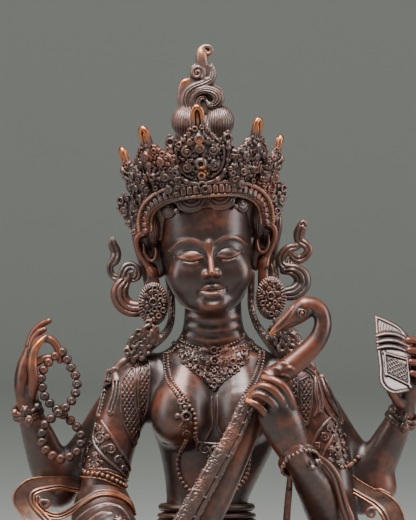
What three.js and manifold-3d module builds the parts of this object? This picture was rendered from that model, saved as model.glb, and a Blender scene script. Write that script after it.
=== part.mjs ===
// A seated four-armed figure in cast copper on a separate oval lotus base.
// Millimetres, +Z up, the figure faces -Y, the origin is the centre of the base's underside.
import * as THREE from "three";
import { mergeVertices } from "three/addons/utils/BufferGeometryUtils.js";
import Module from "manifold-3d";

const wasm = await Module();
wasm.setup();

// Driving sizes, in millimetres
const FIGURE_HEIGHT = 291; // seat to the tip of the hair ornament
const BASE_HEIGHT = 45;
const BASE_WIDTH = 168;
const BASE_DEPTH = 120;
const SEAT_GAP = 0.3; // between the figure's flat underside and the base
const PLINTH_HEIGHT = 5; // plain foot under the lower petals
const RIM_HEIGHT = 4; // plain rim above the upper petals
const PETALS = 14; // in each of the two rows

// Proportions. The pose is drawn on a figure of FIGURE_PARTS parts, and one part is PART millimetres.
// Heights in the pose count from a floor SEAT_PARTS below the seat.
const FIGURE_PARTS = 291;
const SEAT_PARTS = 45;
const PART = FIGURE_HEIGHT / FIGURE_PARTS;
const BODY_CENTRE = 4; // the chest's middle stands this far to the figure's left
const HEAD_ROLL = THREE.MathUtils.degToRad(4.5);
const HEAD_PIVOT = [3.4, 8, 190];

const COPPER = { color: 0x4a2a20, roughness: 0.42, metalness: 0.85 };
const BASE_COPPER = { color: 0x4d2c21, roughness: 0.45, metalness: 0.85 };

const vector = (p) => new THREE.Vector3(...p);

/** A closed geometry as a solid, with its faces turned outwards. */
function solid(geometry, matrix) {
  const bare = geometry.clone();
  bare.deleteAttribute("normal");
  bare.deleteAttribute("uv");
  if (matrix) bare.applyMatrix4(matrix);
  const merged = mergeVertices(bare, 1e-4);
  const make = (triVerts) =>
    new wasm.Manifold(
      new wasm.Mesh({ numProp: 3, vertProperties: merged.attributes.position.array, triVerts }),
    );
  const made = make(new Uint32Array(merged.index.array));
  return made.volume() < 0 ? make(new Uint32Array(merged.index.array).reverse()) : made;
}

/** Everything as one solid, with the small hollows left between its parts filled in. */
const join = (solids) =>
  solids
    .reduce((whole, next) => whole.add(next))
    .decompose()
    .filter((shell) => shell.volume() > 0)
    .reduce((whole, next) => whole.add(next));

/** A solid back as a geometry with flat normals. */
function geometryOf(made) {
  const mesh = made.getMesh();
  const geometry = new THREE.BufferGeometry();
  geometry.setAttribute("position", new THREE.BufferAttribute(mesh.vertProperties, mesh.numProp));
  geometry.setIndex(new THREE.BufferAttribute(mesh.triVerts, 1));
  geometry.computeVertexNormals();
  return geometry;
}

/**
 * A skin over elliptical rings. Each station is [x, y, z, a, b]: a centre and the half-widths across and
 * along the facing direction. Rings are smoothed in steps, and the ends are closed unless it is a loop.
 */
function skin(stations, { sides = 8, facing = [0, 1, 0], steps = 1, turn = 0, loop = false } = {}) {
  const centres = new THREE.CatmullRomCurve3(stations.map((s) => vector(s)), loop);
  const sizes = new THREE.CatmullRomCurve3(
    stations.map((s) => new THREE.Vector3(s[3], s[4] ?? s[3], 0)),
    loop,
  );
  const spans = (loop ? stations.length : stations.length - 1) * steps;
  const rings = loop ? spans : spans + 1;
  const positions = [];
  for (let i = 0; i < rings; i++) {
    const t = i / spans;
    const centre = centres.getPoint(t);
    const size = sizes.getPoint(t);
    const along = centres.getTangent(t);
    const across = new THREE.Vector3().crossVectors(vector(facing), along).normalize();
    const deep = new THREE.Vector3().crossVectors(along, across).normalize();
    for (let k = 0; k < sides; k++) {
      const angle = turn + (k / sides) * 2 * Math.PI;
      const point = centre
        .clone()
        .addScaledVector(across, Math.max(size.x, 0.2) * Math.cos(angle))
        .addScaledVector(deep, Math.max(size.y, 0.2) * Math.sin(angle));
      positions.push(...point.toArray());
    }
  }
  const index = [];
  const quad = (a, b, c, d) => index.push(a, b, c, a, c, d);
  for (let i = 0; i < (loop ? rings : rings - 1); i++)
    for (let k = 0; k < sides; k++) {
      const next = (k + 1) % sides;
      const up = ((i + 1) % rings) * sides;
      quad(i * sides + k, i * sides + next, up + next, up + k);
    }
  if (!loop)
    for (let k = 1; k < sides - 1; k++) {
      const top = (rings - 1) * sides;
      index.push(0, k + 1, k);
      index.push(top, top + k, top + k + 1);
    }
  const geometry = new THREE.BufferGeometry();
  geometry.setAttribute("position", new THREE.Float32BufferAttribute(positions, 3));
  geometry.setIndex(index);
  return geometry;
}

/** A flat strap: a skin with four corners. */
const strap = (stations, options = {}) =>
  skin(stations, { sides: 4, turn: Math.PI / 4, ...options });

/** An ellipsoid, turned about Y by tilt radians. */
function ball([x, y, z], [a, b, c], { detail = [8, 6], tilt = 0, spin = 0 } = {}) {
  const geometry = new THREE.SphereGeometry(1, ...detail);
  geometry.rotateX(Math.PI / 2);
  geometry.scale(a, b, c);
  geometry.rotateY(tilt);
  geometry.rotateZ(spin);
  geometry.translate(x, y, z);
  return geometry;
}

/** A small faceted bead. */
function bead([x, y, z], radius) {
  const geometry = new THREE.IcosahedronGeometry(radius, 0);
  geometry.translate(x, y, z);
  return geometry;
}

/** A raised jewel with four sides. */
function boss([x, y, z], radius) {
  const geometry = new THREE.OctahedronGeometry(radius, 0);
  geometry.translate(x, y, z);
  return geometry;
}

/** The stations mirrored in the plane x = middle. */
const mirrored = (stations, middle = 0) =>
  stations.map(([x, ...rest]) => [2 * middle - x, ...rest]);

/** The part of a pose that one side shares with the other. */
const bothSides = (stations, middle = 0) => [stations, mirrored(stations, middle)];

// The body, from the seat to the neck

function torso() {
  const trunk = [
    [0, 10, SEAT_PARTS - 2, 38, 32],
    [0, 10, 62, 38, 29],
    [-1, 11, 82, 31, 22],
    [-1.5, 11, 93, 25, 18.5],
    [-1.5, 11, 96, 28, 21.5],
    [-1.5, 11, 98.5, 22.6, 17],
    [-1.5, 11, 101.5, 25.6, 19.5],
    [-1.5, 11, 104, 20.5, 15],
    [0, 11, 120, 22, 15],
    [3, 10, 139, 30, 17],
    [BODY_CENTRE, 10, 156, 36, 17],
    [BODY_CENTRE, 10, 171, 38, 14.5],
    [BODY_CENTRE, 10, 180, 32, 13],
    [3.5, 9.5, 188, 18.5, 12.5],
    [3.2, 9, 193, 14.5, 12.5],
    [3, 8, 206, 14, 13],
  ];
  const breast = { detail: [8, 6] };
  return [
    skin(trunk, { sides: 10 }),
    ball([-13.8, -4, 148.5], [14.5, 14, 14], breast),
    ball([18.6, -4, 148.5], [14.5, 14, 14], breast),
  ];
}

function legs() {
  const knee = 68;
  const thigh = [
    [12, 8, 64, 18, 19],
    [42, -6, 62, 16, 16],
    [knee, -20, 60, 11, 12],
  ];
  const upperShin = [
    [-knee, -21, 59, 11, 11],
    [-44, -39, 58, 11, 11],
    [-12, -46, 58, 8.5, 8.5],
    [10, -41, 61.5, 6, 6.5],
    [36, -27, 68, 3.5, 6],
  ];
  const lowerShin = [
    [knee, -21, 57, 11, 11],
    [40, -43, 54, 10, 9],
    [6, -50, 51, 7.5, 7],
    [-36, -43, 50, 3.5, 5],
  ];
  const along = { sides: 7, facing: [0, 0, 1] };
  return [
    ...bothSides(thigh).map((stations) => skin(stations, along)),
    skin(upperShin, along),
    skin(lowerShin, along),
  ];
}

/** Upper arm and forearm of each of the four arms, with their ridged armlets and bangles. */
function arms() {
  const frontUpper = [
    [-34, 9, 173, 9, 10],
    [-45.5, 5, 143, 11.5, 11.5],
    [-51.6, 3, 121.5, 11.4, 11.4],
    [-52.4, 3, 118, 14, 14],
    [-53, 3, 114.5, 11.2, 11.2],
    [-57, 3, 96, 10, 10],
    [-58, 2, 90, 6, 6],
  ];
  const rearUpper = [
    [-30, 14, 166, 9, 9],
    [-48, 15, 141, 8.5, 8.5],
    [-66, 14, 117, 9.5, 9.5],
    [-78, 13, 109, 6, 6],
  ];
  const rearFore = [
    [-74, 13, 112, 7.5, 7.5],
    [-78, 12, 124, 9.2, 9],
    [-84, 9, 138, 8.4, 8],
    [-88.6, 6.8, 149.5, 6.4, 6.2],
    [-89.4, 6.4, 152.5, 9, 8.8],
    [-90, 6, 155.5, 6, 5.8],
  ];
  const plucking = [
    [-57, 3, 95, 10, 10],
    [-49, -20, 89, 9.5, 9.5],
    [-40, -36, 86, 7, 7],
    [-38, -39.5, 85.6, 9, 9],
    [-36, -42.5, 85, 6.4, 6.4],
  ];
  const stopping = [
    [64, 3, 93, 9.5, 9.5],
    [59, -10, 104, 10.6, 10.6],
    [52, -22, 116, 9.6, 9.6],
    [46.6, -29.6, 125, 8.2, 8.2],
    [45, -31.6, 127.4, 10.6, 10.6],
    [43.6, -33.4, 129.8, 8, 8],
  ];
  const plate = [
    [-52, -8, 121, 12, 3.6],
    [-54.5, -4.5, 148, 2, 2],
  ];
  const limb = { sides: 7 };
  const left = rearFore.map(([x, y, z, a, b]) => [2 * BODY_CENTRE - x - 0.5, y, z - 2, a, b]);
  return [
    ...bothSides(frontUpper, BODY_CENTRE).map((s) => skin(s, limb)),
    ...bothSides(rearUpper, BODY_CENTRE).map((s) => skin(s, limb)),
    ...bothSides(plate, BODY_CENTRE).map((s) => strap(s)),
    skin(rearFore, limb),
    skin(left, limb),
    skin(plucking, { ...limb, facing: [0, 0, 1] }),
    skin(stopping, limb),
  ];
}

const finger = (stations) => skin(stations, { sides: 4, turn: 0.6, facing: [0.3, 1, 0.2] });

/** The raised rear hand that holds the beads between thumb and finger. */
function beadHand() {
  const palm = [
    [-90, 6, 153, 6.2, 6],
    [-91, 5, 163, 5.6, 6.5],
    [-91.5, 4, 174, 5, 7.5],
    [-90.5, 3.5, 182, 3.6, 7],
  ];
  return [
    skin(palm, { sides: 7 }),
    finger([
      [-91.5, 8, 179, 2.6, 2.6],
      [-88, 8, 190, 2.4, 2.4],
      [-83, 7, 195, 2, 2],
      [-79.5, 6, 197, 1, 1],
    ]),
    finger([
      [-91, 4, 181, 2.6, 2.6],
      [-87, 4, 190.5, 2.5, 2.5],
      [-82, 4, 192, 2, 2],
      [-79.5, 3, 190, 1, 1],
    ]),
    finger([
      [-91, 0.5, 181, 2.7, 2.7],
      [-85, 1, 189, 2.8, 2.8],
      [-78, 1, 186, 2.6, 2.6],
      [-74.5, 0.5, 177, 1.8, 1.8],
    ]),
    finger([
      [-88.5, 0, 162, 3.2, 3.2],
      [-86.6, -1.5, 173, 2.9, 2.9],
      [-85.3, -1.5, 182, 2.4, 2.4],
      [-81.5, -0.5, 188.5, 1, 1],
    ]),
  ];
}

/** The raised rear hand and the long book that its fingers close over. */
function bookHand() {
  const palm = [
    [96.7, 6.5, 151, 6, 6],
    [99.5, 4, 162, 5.6, 6.2],
    [102.5, 2.5, 174, 4.6, 7.5],
    [103, 2.5, 184, 3.6, 7],
  ];
  const across = new THREE.Vector3(0.66, 0.65, -0.38).normalize();
  const down = new THREE.Vector3(0.08, -0.7, -0.705).normalize();
  const out = new THREE.Vector3().crossVectors(across, down).normalize();
  const book = new THREE.BoxGeometry(20, 38, 8);
  book.applyMatrix4(
    new THREE.Matrix4().makeBasis(across, down.clone().negate(), out.clone().negate()).setPosition(94, -1, 182),
  );
  const wrap = (z, reach) =>
    finger([
      [103.5, 2, z - 2, 2.8, 2.8],
      [102.5, -7, z + 1, 2.7, 2.7],
      [96, -12.5 , z + 1.5, 2.5, 2.5],
      [reach, -11.5, z + 1.5, 1.8, 1.8],
    ]);
  return [
    skin(palm, { sides: 7 }),
    book,
    wrap(187, 86.5),
    wrap(182.5, 85.5),
    wrap(178, 87),
  ];
}

/** The near hand, its fingers over the lute's neck. */
function stoppingHand() {
  const back = [
    [45, -32, 128, 8, 6.6],
    [41, -36, 138, 10.4, 6],
    [37, -39, 149, 11, 5],
    [34.5, -40.5, 156, 8.6, 4],
  ];
  return [
    skin(back, { sides: 7 }),
    finger([
      [41, -39.5, 153, 3.2, 3],
      [38, -41, 163, 2.8, 2.8],
      [32.5, -41, 168, 2.4, 2.4],
      [26.5, -38, 169.4, 1.2, 1.2],
    ]),
    finger([
      [36.5, -41, 153, 3.1, 3],
      [32.5, -43.5, 161, 2.8, 2.8],
      [27, -43, 163.5, 2.4, 2.4],
      [20, -38, 162, 1.2, 1.2],
    ]),
    finger([
      [32.5, -41, 149, 3, 3],
      [29, -43.5, 156, 2.7, 2.7],
      [24.5, -42.5, 159, 2.2, 2.2],
      [18.8, -38, 159, 1.1, 1.1],
    ]),
    finger([
      [30.5, -40, 144.5, 2.9, 2.9],
      [27.5, -42.5, 151, 2.6, 2.6],
      [23.5, -42.5, 155.5, 2, 2],
      [18.6, -40, 157.6, 0.8, 0.8],
    ]),
  ];
}

/** The far hand that plucks, over the lute's body. */
function pluckingHand() {
  const back = [
    [-36, -42, 85, 6.4, 6],
    [-29, -50, 85.5, 4.6, 8],
    [-22, -54.5, 85, 3.4, 7.4],
  ];
  const fingers = [0, 1, 2, 3].map((i) => {
    const z = 90 - 3.6 * i;
    return finger([
      [-23, -54, z, 2.4, 2.4],
      [-15.5, -55.5, z + 0.5, 2.2, 2.2],
      [-9.5, -50 + i, z - 1, 1.4, 1.4],
    ]);
  });
  return [skin(back, { sides: 7, facing: [0, 0, 1] }), ...fingers];
}

/** A lute with a tapered neck, a flat fingerboard, a round body, and a goose's neck and head. */
function lute() {
  const neck = [
    [30.5, -31, 173, 4.8, 4.8],
    [26.5, -30, 164.5, 5, 5],
    [18.5, -30, 146.5, 6.4, 6],
    [8.5, -30.5, 124.5, 8.4, 8],
    [-1.2, -31, 103, 10.7, 9.5],
    [-8.5, -33, 87, 13, 11.5],
  ];
  const board = neck.map(([x, y, z, a, b]) => [x - 0.5 * a, y - 0.75 * b, z, 4.6, 2.6]);
  const goose = [
    [31, -31.5, 171, 5.6, 5.6],
    [39, -31, 173.5, 5.6, 5.6],
    [51, -29, 182.5, 4.8, 4.8],
    [56.6, -28, 191, 4.3, 4.3],
    [57.2, -28, 199, 4.2, 4.2],
    [53.4, -28.5, 205, 4.3, 4.3],
    [48.4, -29, 204.5, 5.2, 4.8],
    [43.5, -30, 200.5, 5.6, 4.8],
    [38, -31, 196.3, 3.6, 3.4],
    [30.8, -32, 191.4, 1.2, 1.6],
  ];
  return [
    skin(neck, { sides: 7 }),
    strap(board),
    ball([-15, -36, 75], [17.5, 14.5, 16.5], { detail: [8, 6], tilt: 0.4 }),
    ball([-13, -46, 77], [9, 6.5, 9], { detail: [7, 4] }),
    skin(goose, { sides: 6 }),
  ];
}

/** The string of beads, each a ridge on the loop, which is crossed once like a figure of eight. */
function prayerBeads() {
  const course = [
    [-73.5, 178.5], [-69, 175], [-66, 168], [-66.4, 160], [-71, 154.2], [-77.6, 149.8], [-82.4, 145],
    [-83.7, 138], [-80.5, 131.6], [-74.5, 128.6], [-68, 130.4], [-64.6, 136], [-65.3, 142.8],
    [-70.3, 148.4], [-76.5, 153.2], [-81.6, 158.4], [-83.8, 165.5], [-82.2, 173], [-78, 177.6],
  ];
  const curve = new THREE.CatmullRomCurve3(
    course.map(([x, z], i) => new THREE.Vector3(x, 2.2 * Math.sin((2 * Math.PI * (i - 1)) / 9.5) - 1.5, z)),
    true,
  );
  const beads = 27;
  const [thick, thin] = [2.5, 1.2];
  const rings = curve.getSpacedPoints(2 * beads).slice(0, -1);
  const stations = rings.map((p, i) => [...p.toArray(), ...(i % 2 ? [thin, thin] : [thick, thick])]);
  return [skin(stations, { sides: 4, loop: true })];
}

/** Hair that falls over each shoulder, and the long scarf with its flying ends. */
function tressesAndScarf() {
  const tress = [
    [-36, 2, 177, 4, 4],
    [-43.5, -1, 174.5, 6, 5],
    [-47, -3, 165, 5, 3.4],
    [-50, -5, 154, 4.6, 2.8],
    [-52.5, -5.5, 146, 2, 1.4],
  ];
  const drape = [
    [-56.5, 3, 112, 9, 9],
    [-55, 0, 107, 14, 13],
    [-52, -8, 97, 15.5, 14.5],
    [-47, -22, 88, 14, 13],
    [-43, -30, 84, 11, 10],
  ];
  const tail = [
    [-64, 4, 109, 3, 4],
    [-80, 2, 114, 4.5, 5],
    [-92, -3, 104, 5, 6],
    [-87, -8, 88, 4.5, 5],
    [-76, -12, 74, 4.5, 5],
    [-66, -15, 62, 5, 5],
  ];
  const tie = [
    [-62, -4, 100, 2.5, 4],
    [-72, -5, 95, 2.5, 4],
    [-85, -6, 93, 3, 4],
  ];
  const rightTail = [
    [62, 4, 104, 3, 4],
    [78, 2, 112, 4.5, 5],
    [94, -3, 103, 5, 6],
    [95, -8, 86, 4.5, 5],
    [82, -12, 72, 4.5, 5],
    [70, -16, 62, 5, 5],
  ];
  const strip = [
    [52, -30, 128, 3.5, 2.4],
    [60.5, -22, 119, 4, 2.4],
    [66.5, -15, 104, 4, 2.4],
    [68, -18, 70, 4, 2.4],
  ];
  const flat = { sides: 4, turn: Math.PI / 4 };
  return [
    ...bothSides(tress, BODY_CENTRE + 0.5).map((s) => skin(s, { sides: 5 })),
    skin(drape, { sides: 6 }),
    skin(tail, flat),
    skin(tie, flat),
    skin(rightTail, flat),
    strap(strip),
  ];
}

/** A course drawn from the front as [x, z] points, laid at the depths given. */
const course = (points, size) => points.map(([x, y, z]) => [x, y, z, size, size]);

function necklaces() {
  const collar = course(
    [[-18, 4, 189], [-9, -0.5, 182.5], [3, -2.8, 179.5], [14, -0.5, 182], [23, 4, 190]],
    1.8,
  );
  const pendant = [
    [3, -2.6, 181, 18, 3],
    [3, -3.4, 176, 15, 3.2],
    [3, -5.2, 164, 1.6, 2.4],
  ];
  const left = course(
    [[-22, 4, 187], [-22, -3, 176], [-19, -9.5, 165], [-11, -17, 153], [-7, -15, 140], [2, -6, 131]],
    2,
  );
  const right = course(
    [[27, 4, 187], [27.4, -3, 176], [25, -9.5, 166], [16, -17, 153], [12, -15, 140], [2, -6, 131]],
    2,
  );
  return [
    skin(collar, { sides: 4 }),
    strap(pendant),
    skin(left, { sides: 4 }),
    skin(right, { sides: 4 }),
  ];
}

// The head, in its own frame: x to the figure's left, z up from the pivot in the neck

function face() {
  const skull = [
    [0, -12, 11.5, 5, 5],
    [0, -9.5, 14, 11, 9.5],
    [0, -5.5, 19.5, 17.5, 15.5],
    [0, -1, 30, 21.5, 22],
    [0, 0, 42, 23, 24.5],
    [0, 1, 56, 24, 25.5],
    [0, 3, 70, 25, 25],
    [0, 4, 84, 20, 20],
    [0, 4, 97, 11, 12],
  ];
  const nose = [
    [0, -23.5, 46, 1.6, 1.4],
    [0, -25.5, 37, 2, 2.4],
    [0, -26, 31.5, 3.8, 2.8],
    [0, -23, 29, 3, 1],
  ];
  const ear = [
    [28, 3, 49, 6, 3.6],
    [28.5, 3, 42, 8.5, 4],
    [27, 3, 30, 7, 3.6],
    [27.5, 2, 14, 5.4, 3],
  ];
  const nape = [
    [32, 9, 56, 6, 6],
    [30, 10, 36, 6, 6],
    [19, 9, 3, 2.4, 3.4],
    [19, 6, -8, 2.4, 3],
  ];
  return [
    skin(skull, { sides: 12 }),
    skin(nose, { sides: 5 }),
    ...bothSides(ear).map((s) => skin(s, { sides: 4 })),
    ...bothSides(nape).map((s) => skin(s, { sides: 4 })),
    ball([0, 20, 44], [23, 12, 26], { detail: [8, 6] }),
  ];
}

/** Round earrings with hanging sprays, and the ribbons that curl up behind them. */
function earrings() {
  const spray = [
    [30, -5, 10, 5.5, 3],
    [34, -5.5, 3, 4.6, 3],
    [38, -5, -3, 3.6, 2.6],
    [41, -4, -8.5, 1.6, 1.6],
  ];
  const ribbon = [
    [26, 2, 14, 3, 2.6],
    [34, 4, 14, 3, 2.6],
    [41, 5, 14.5, 3, 2.8],
    [48, 5, 20, 3, 3],
    [48, 5, 27.5, 3, 2.8],
    [42, 5, 31.5, 3, 2.6],
    [38.6, 5, 37, 3, 1.8],
  ];
  const wave = [
    [41, 5, 33, 3, 2.6],
    [47.6, 5, 34, 3, 3.4],
    [48.6, 5, 39, 2.6, 2.6],
    [44.8, 5, 44, 2.4, 2.2],
    [47.6, 5, 48.5, 2, 2],
    [47.8, 5, 53, 1.2, 0.8],
  ];
  const disc = (side) => {
    const geometry = new THREE.CylinderGeometry(1, 1, 6, 9);
    geometry.scale(7.4, 1, 9.8);
    geometry.translate(29.4 * side, -3.6, 18);
    return geometry;
  };
  return [
    ...[1, -1].map(disc),
    ...[spray, ribbon, wave].flatMap((s) => bothSides(s).map((side) => strap(side))),
  ];
}

/** The band over the brow: flat in front, and dropping in front of the ears. */
function crownBand(lift, size) {
  const front = 7;
  const power = 2 / 3.2;
  const arch = Array.from({ length: front }, (_, i) => {
    const angle = Math.PI * (1 - i / (front - 1));
    const x = 28.6 * Math.sign(Math.cos(angle)) * Math.abs(Math.cos(angle)) ** power;
    const z = 46 + 24 * Math.abs(Math.sin(angle)) ** power;
    return [x, 1 - 26.5 * Math.sqrt(Math.max(0, 1 - (x / 28.7) ** 2)), z + lift, size, size];
  });
  const back = [
    [25, 18, 50 + lift, size, size],
    [0, 31, 52 + lift, size, size],
    [-25, 18, 50 + lift, size, size],
  ];
  return skin([...arch, ...back], { sides: 4, turn: Math.PI / 4, facing: [0, 0.2, 1], loop: true });
}

/** One leaf of the crown as an outline: scalloped sides under a smooth upright tip. */
function leafOutline(width, height) {
  const shape = new THREE.Shape();
  const side = [
    [0.9, 0],
    [1.05, 0.22],
    [0.95, 0.46],
    [0.6, 0.58],
    [0.26, 0.7],
    [0.22, 0.93],
    [0.08, 1],
  ];
  shape.moveTo(-side[0][0] * width, 0);
  side.slice(1).forEach(([x, z]) => shape.lineTo(-x * width, z * height));
  [...side].reverse().forEach(([x, z]) => shape.lineTo(x * width, z * height));
  return shape;
}

function crown() {
  const thickness = 5;
  const leaves = [
    { angle: 0, foot: 28, tip: 38, low: 72, high: 114.3, width: 15.5 },
    { angle: 45, foot: 28.5, tip: 41.5, low: 66, high: 106.5, width: 13 },
    { angle: 76, foot: 32.5, tip: 41.5, low: 50, high: 96.5, width: 13.5 },
  ];
  const made = leaves.flatMap(({ angle, foot, tip, low, high, width }) =>
    (angle ? [1, -1] : [1]).flatMap((side) => {
      const turned = THREE.MathUtils.degToRad(angle * side);
      const outward = new THREE.Vector3(Math.sin(turned), -Math.cos(turned), 0);
      const rise = new THREE.Vector3(0, 0, high - low).addScaledVector(outward, tip - foot);
      const height = rise.length();
      const up = rise.clone().normalize();
      const across = new THREE.Vector3(Math.cos(turned), Math.sin(turned), 0);
      const out = new THREE.Vector3().crossVectors(across, up).normalize();
      const place = new THREE.Matrix4()
        .makeBasis(across, up, out)
        .setPosition(outward.x * foot, outward.y * foot + 2, low);
      const leaf = new THREE.ExtrudeGeometry(leafOutline(width, height), {
        depth: thickness,
        bevelEnabled: false,
      });
      leaf.translate(0, 0, -thickness / 2);
      const jewel = boss([0, 0.36 * height, thickness / 2], 0.4 * width);
      return [leaf, jewel].map((geometry) => geometry.applyMatrix4(place));
    }),
  );
  return [crownBand(2.6, 4.2), ...made];
}

/** The hair drawn up behind the crown, and the scrolled ornament on top of it. */
function topknot() {
  const lobes = bothSides([[8.5, 4, 104, 0, 0]]).map(([[x, y, z]]) =>
    ball([x, y, z], [9.5, 11, 13], { detail: [6, 5] }),
  );
  const sweep = [
    [-4, -4, 108, 2.4, 4.5],
    [-8, -4.5, 116, 2.4, 4],
    [-7, -4.5, 123.5, 2.2, 3.6],
    [0, -4, 127, 2, 2.6],
    [6, -3.5, 128.5, 2, 2.2],
    [9, -3, 133, 1.2, 1],
  ];
  const stem = [
    [1, -3, 128, 2, 2.2],
    [5.6, -3, 131.5, 2, 2.2],
    [3.6, -3, 138, 2, 2.6],
    [3.6, -3, 143, 2, 2],
    [7, -3, 145, 2, 1.1],
    [9.3, -3, 142.5, 2, 1.1],
    [7.6, -3, 140.2, 2, 1.2],
  ];
  const plate = [
    [1, -1, 108, 4, 8],
    [1, -2, 118, 3, 8],
    [1, -2.5, 126, 2.4, 5],
  ];
  const flat = { sides: 4, turn: Math.PI / 4 };
  const turned = (stations) => stations.map(([x, y, z, a, b]) => [x, y, z, b, a]);
  return [
    ...lobes,
    skin(turned(plate), flat),
    skin(turned(sweep), flat),
    skin(turned(stem), flat),
    ball([8, -5, 117.5], [6.6, 3.4, 6.4], { detail: [7, 4] }),
    ball([0.4, -4, 131.6], [4.6, 2.6, 4.6], { detail: [7, 4] }),
  ];
}

function headSolids() {
  const place = new THREE.Matrix4()
    .makeRotationY(-HEAD_ROLL)
    .setPosition(...HEAD_PIVOT);
  return [...face(), ...earrings(), ...crown(), ...topknot()].map((geometry) =>
    solid(geometry, place),
  );
}

function figureGeometry() {
  const body = [
    ...torso(),
    ...legs(),
    ...arms(),
    ...beadHand(),
    ...bookHand(),
    ...stoppingHand(),
    ...pluckingHand(),
    ...lute(),
    ...prayerBeads(),
    ...tressesAndScarf(),
    ...necklaces(),
  ].map((geometry) => solid(geometry));
  const below = new THREE.BoxGeometry(BASE_WIDTH * 2, BASE_WIDTH * 2, 2 * SEAT_PARTS);
  const whole = join([...body, ...headSolids()]).subtract(solid(below));
  const geometry = geometryOf(whole);
  geometry.translate(0, 0, -SEAT_PARTS);
  geometry.scale(PART, PART, PART);
  return geometry;
}

// The base

/** How far a row of petals stands out at an angle: round lobes with creases between them. */
function lobe(angle, phase) {
  const place = ((angle / (2 * Math.PI)) * PETALS + phase + 1) % 1;
  return Math.sin(Math.PI * place) ** 0.6;
}

/** The oval base: a plain foot, two rows of petals that meet at a waist, and a plain rim. */
function baseGeometry() {
  const waist = (BASE_HEIGHT + PLINTH_HEIGHT - RIM_HEIGHT) / 2;
  const rows = [
    { inset: 0, z: 0 },
    { inset: 0, z: PLINTH_HEIGHT },
    { inset: 9, relief: 8, z: PLINTH_HEIGHT + 1, phase: 0 },
    { inset: 14, relief: 8, z: PLINTH_HEIGHT + 9, phase: 0 },
    { inset: 19, relief: 3, z: waist - 1, phase: 0 },
    { inset: 19, relief: 3, z: waist + 1, phase: 0.5 },
    { inset: 14, relief: 8, z: BASE_HEIGHT - RIM_HEIGHT - 9, phase: 0.5 },
    { inset: 11, relief: 9, z: BASE_HEIGHT - RIM_HEIGHT, phase: 0.5 },
    { inset: 9, z: BASE_HEIGHT - RIM_HEIGHT + 0.5 },
    { inset: 9, z: BASE_HEIGHT },
  ];
  const sides = PETALS * 4;
  const positions = rows.flatMap(({ inset, relief = 0, z, phase = 0 }) =>
    Array.from({ length: sides }, (_, k) => {
      const angle = (k / sides) * 2 * Math.PI;
      const edge = relief ? inset - relief * lobe(angle, phase) : inset;
      return [(BASE_WIDTH / 2 - edge) * Math.cos(angle), (BASE_DEPTH / 2 - edge) * Math.sin(angle), z];
    }).flat(),
  );
  const index = [];
  for (let row = 0; row < rows.length - 1; row++)
    for (let k = 0; k < sides; k++) {
      const next = (k + 1) % sides;
      const [a, b, c, d] = [k, next, next + sides, k + sides].map((corner) => corner + row * sides);
      index.push(a, b, c, a, c, d);
    }
  const top = (rows.length - 1) * sides;
  for (let k = 1; k < sides - 1; k++) index.push(0, k + 1, k, top, top + k, top + k + 1);
  const geometry = new THREE.BufferGeometry();
  geometry.setAttribute("position", new THREE.Float32BufferAttribute(positions, 3));
  geometry.setIndex(index);
  return geometryOf(join([solid(geometry)]));
}

function named(name, geometry, look) {
  const mesh = new THREE.Mesh(geometry, new THREE.MeshStandardMaterial(look));
  mesh.name = name;
  return mesh;
}

const statue = new THREE.Group();
const figure = named("figure", figureGeometry(), COPPER);
figure.position.z = BASE_HEIGHT + SEAT_GAP;
statue.add(figure, named("lotus_base", baseGeometry(), BASE_COPPER));

export default statue;
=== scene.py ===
"""A seated four-armed copper figure on a lotus base: its visible form, finish, light and camera."""

from __future__ import annotations

import logging
import math
from dataclasses import dataclass, field
from enum import Enum
from typing import Callable, Sequence

import bpy
import numpy as np
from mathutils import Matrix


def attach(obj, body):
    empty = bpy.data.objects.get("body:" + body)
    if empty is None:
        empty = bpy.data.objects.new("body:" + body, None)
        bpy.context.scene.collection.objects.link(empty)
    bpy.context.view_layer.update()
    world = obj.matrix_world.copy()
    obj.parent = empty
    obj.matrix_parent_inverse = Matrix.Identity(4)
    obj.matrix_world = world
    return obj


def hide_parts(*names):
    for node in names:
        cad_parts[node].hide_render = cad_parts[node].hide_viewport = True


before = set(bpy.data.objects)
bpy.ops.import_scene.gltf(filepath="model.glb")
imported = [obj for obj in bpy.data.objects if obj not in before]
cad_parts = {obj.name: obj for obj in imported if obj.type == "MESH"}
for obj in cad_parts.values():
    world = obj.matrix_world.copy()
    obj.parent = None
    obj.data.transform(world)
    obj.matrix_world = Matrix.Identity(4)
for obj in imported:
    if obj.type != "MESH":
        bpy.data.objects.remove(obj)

import openvdb
from mathutils import Euler, Matrix, Vector
from mathutils.bvhtree import BVHTree

log = logging.getLogger("scene")

MM = 0.001
FAR = 6.0
COARSE = 1.0
FRONT = -150.0
SHADER = "Principled BSDF"

Rows = Sequence[Sequence[float]]
Place = Callable[[np.ndarray], np.ndarray]
Window = tuple[slice, ...]


class Part(Enum):
    """The two kinds of piece, each with its own finish; their values are the CAD nodes' names."""

    FIGURE = "figure"
    BASE = "lotus_base"


class Mode(Enum):
    """How a form meets the clay that is already there."""

    ADD = "add"
    CUT = "cut"


def smooth_path(rows: Rows, count: int, closed: bool = False) -> np.ndarray:
    """A Catmull-Rom curve through rows of any width.

    Args:
        rows: control rows, each a position and any sizes that vary with it.
        count: how many rows to return.
        closed: whether the curve returns to its first row.
    """
    pts = np.asarray(rows, float)
    before, after = (pts[-1:], pts[:2]) if closed else (2 * pts[:1] - pts[1:2], 2 * pts[-1:] - pts[-2:-1])
    ring = np.vstack([before, pts, after])
    spans = len(pts) if closed else len(pts) - 1
    t = np.linspace(0, spans, count, endpoint=not closed)
    i = np.minimum(t.astype(int), spans - 1)
    u = (t - i)[:, None]
    a, b, c, d = ring[i], ring[i + 1], ring[i + 2], ring[i + 3]
    bend, twist = 2 * a - 5 * b + 4 * c - d, 3 * b - a - 3 * c + d
    return 0.5 * (2 * b + (c - a) * u + bend * u**2 + twist * u**3)


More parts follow.
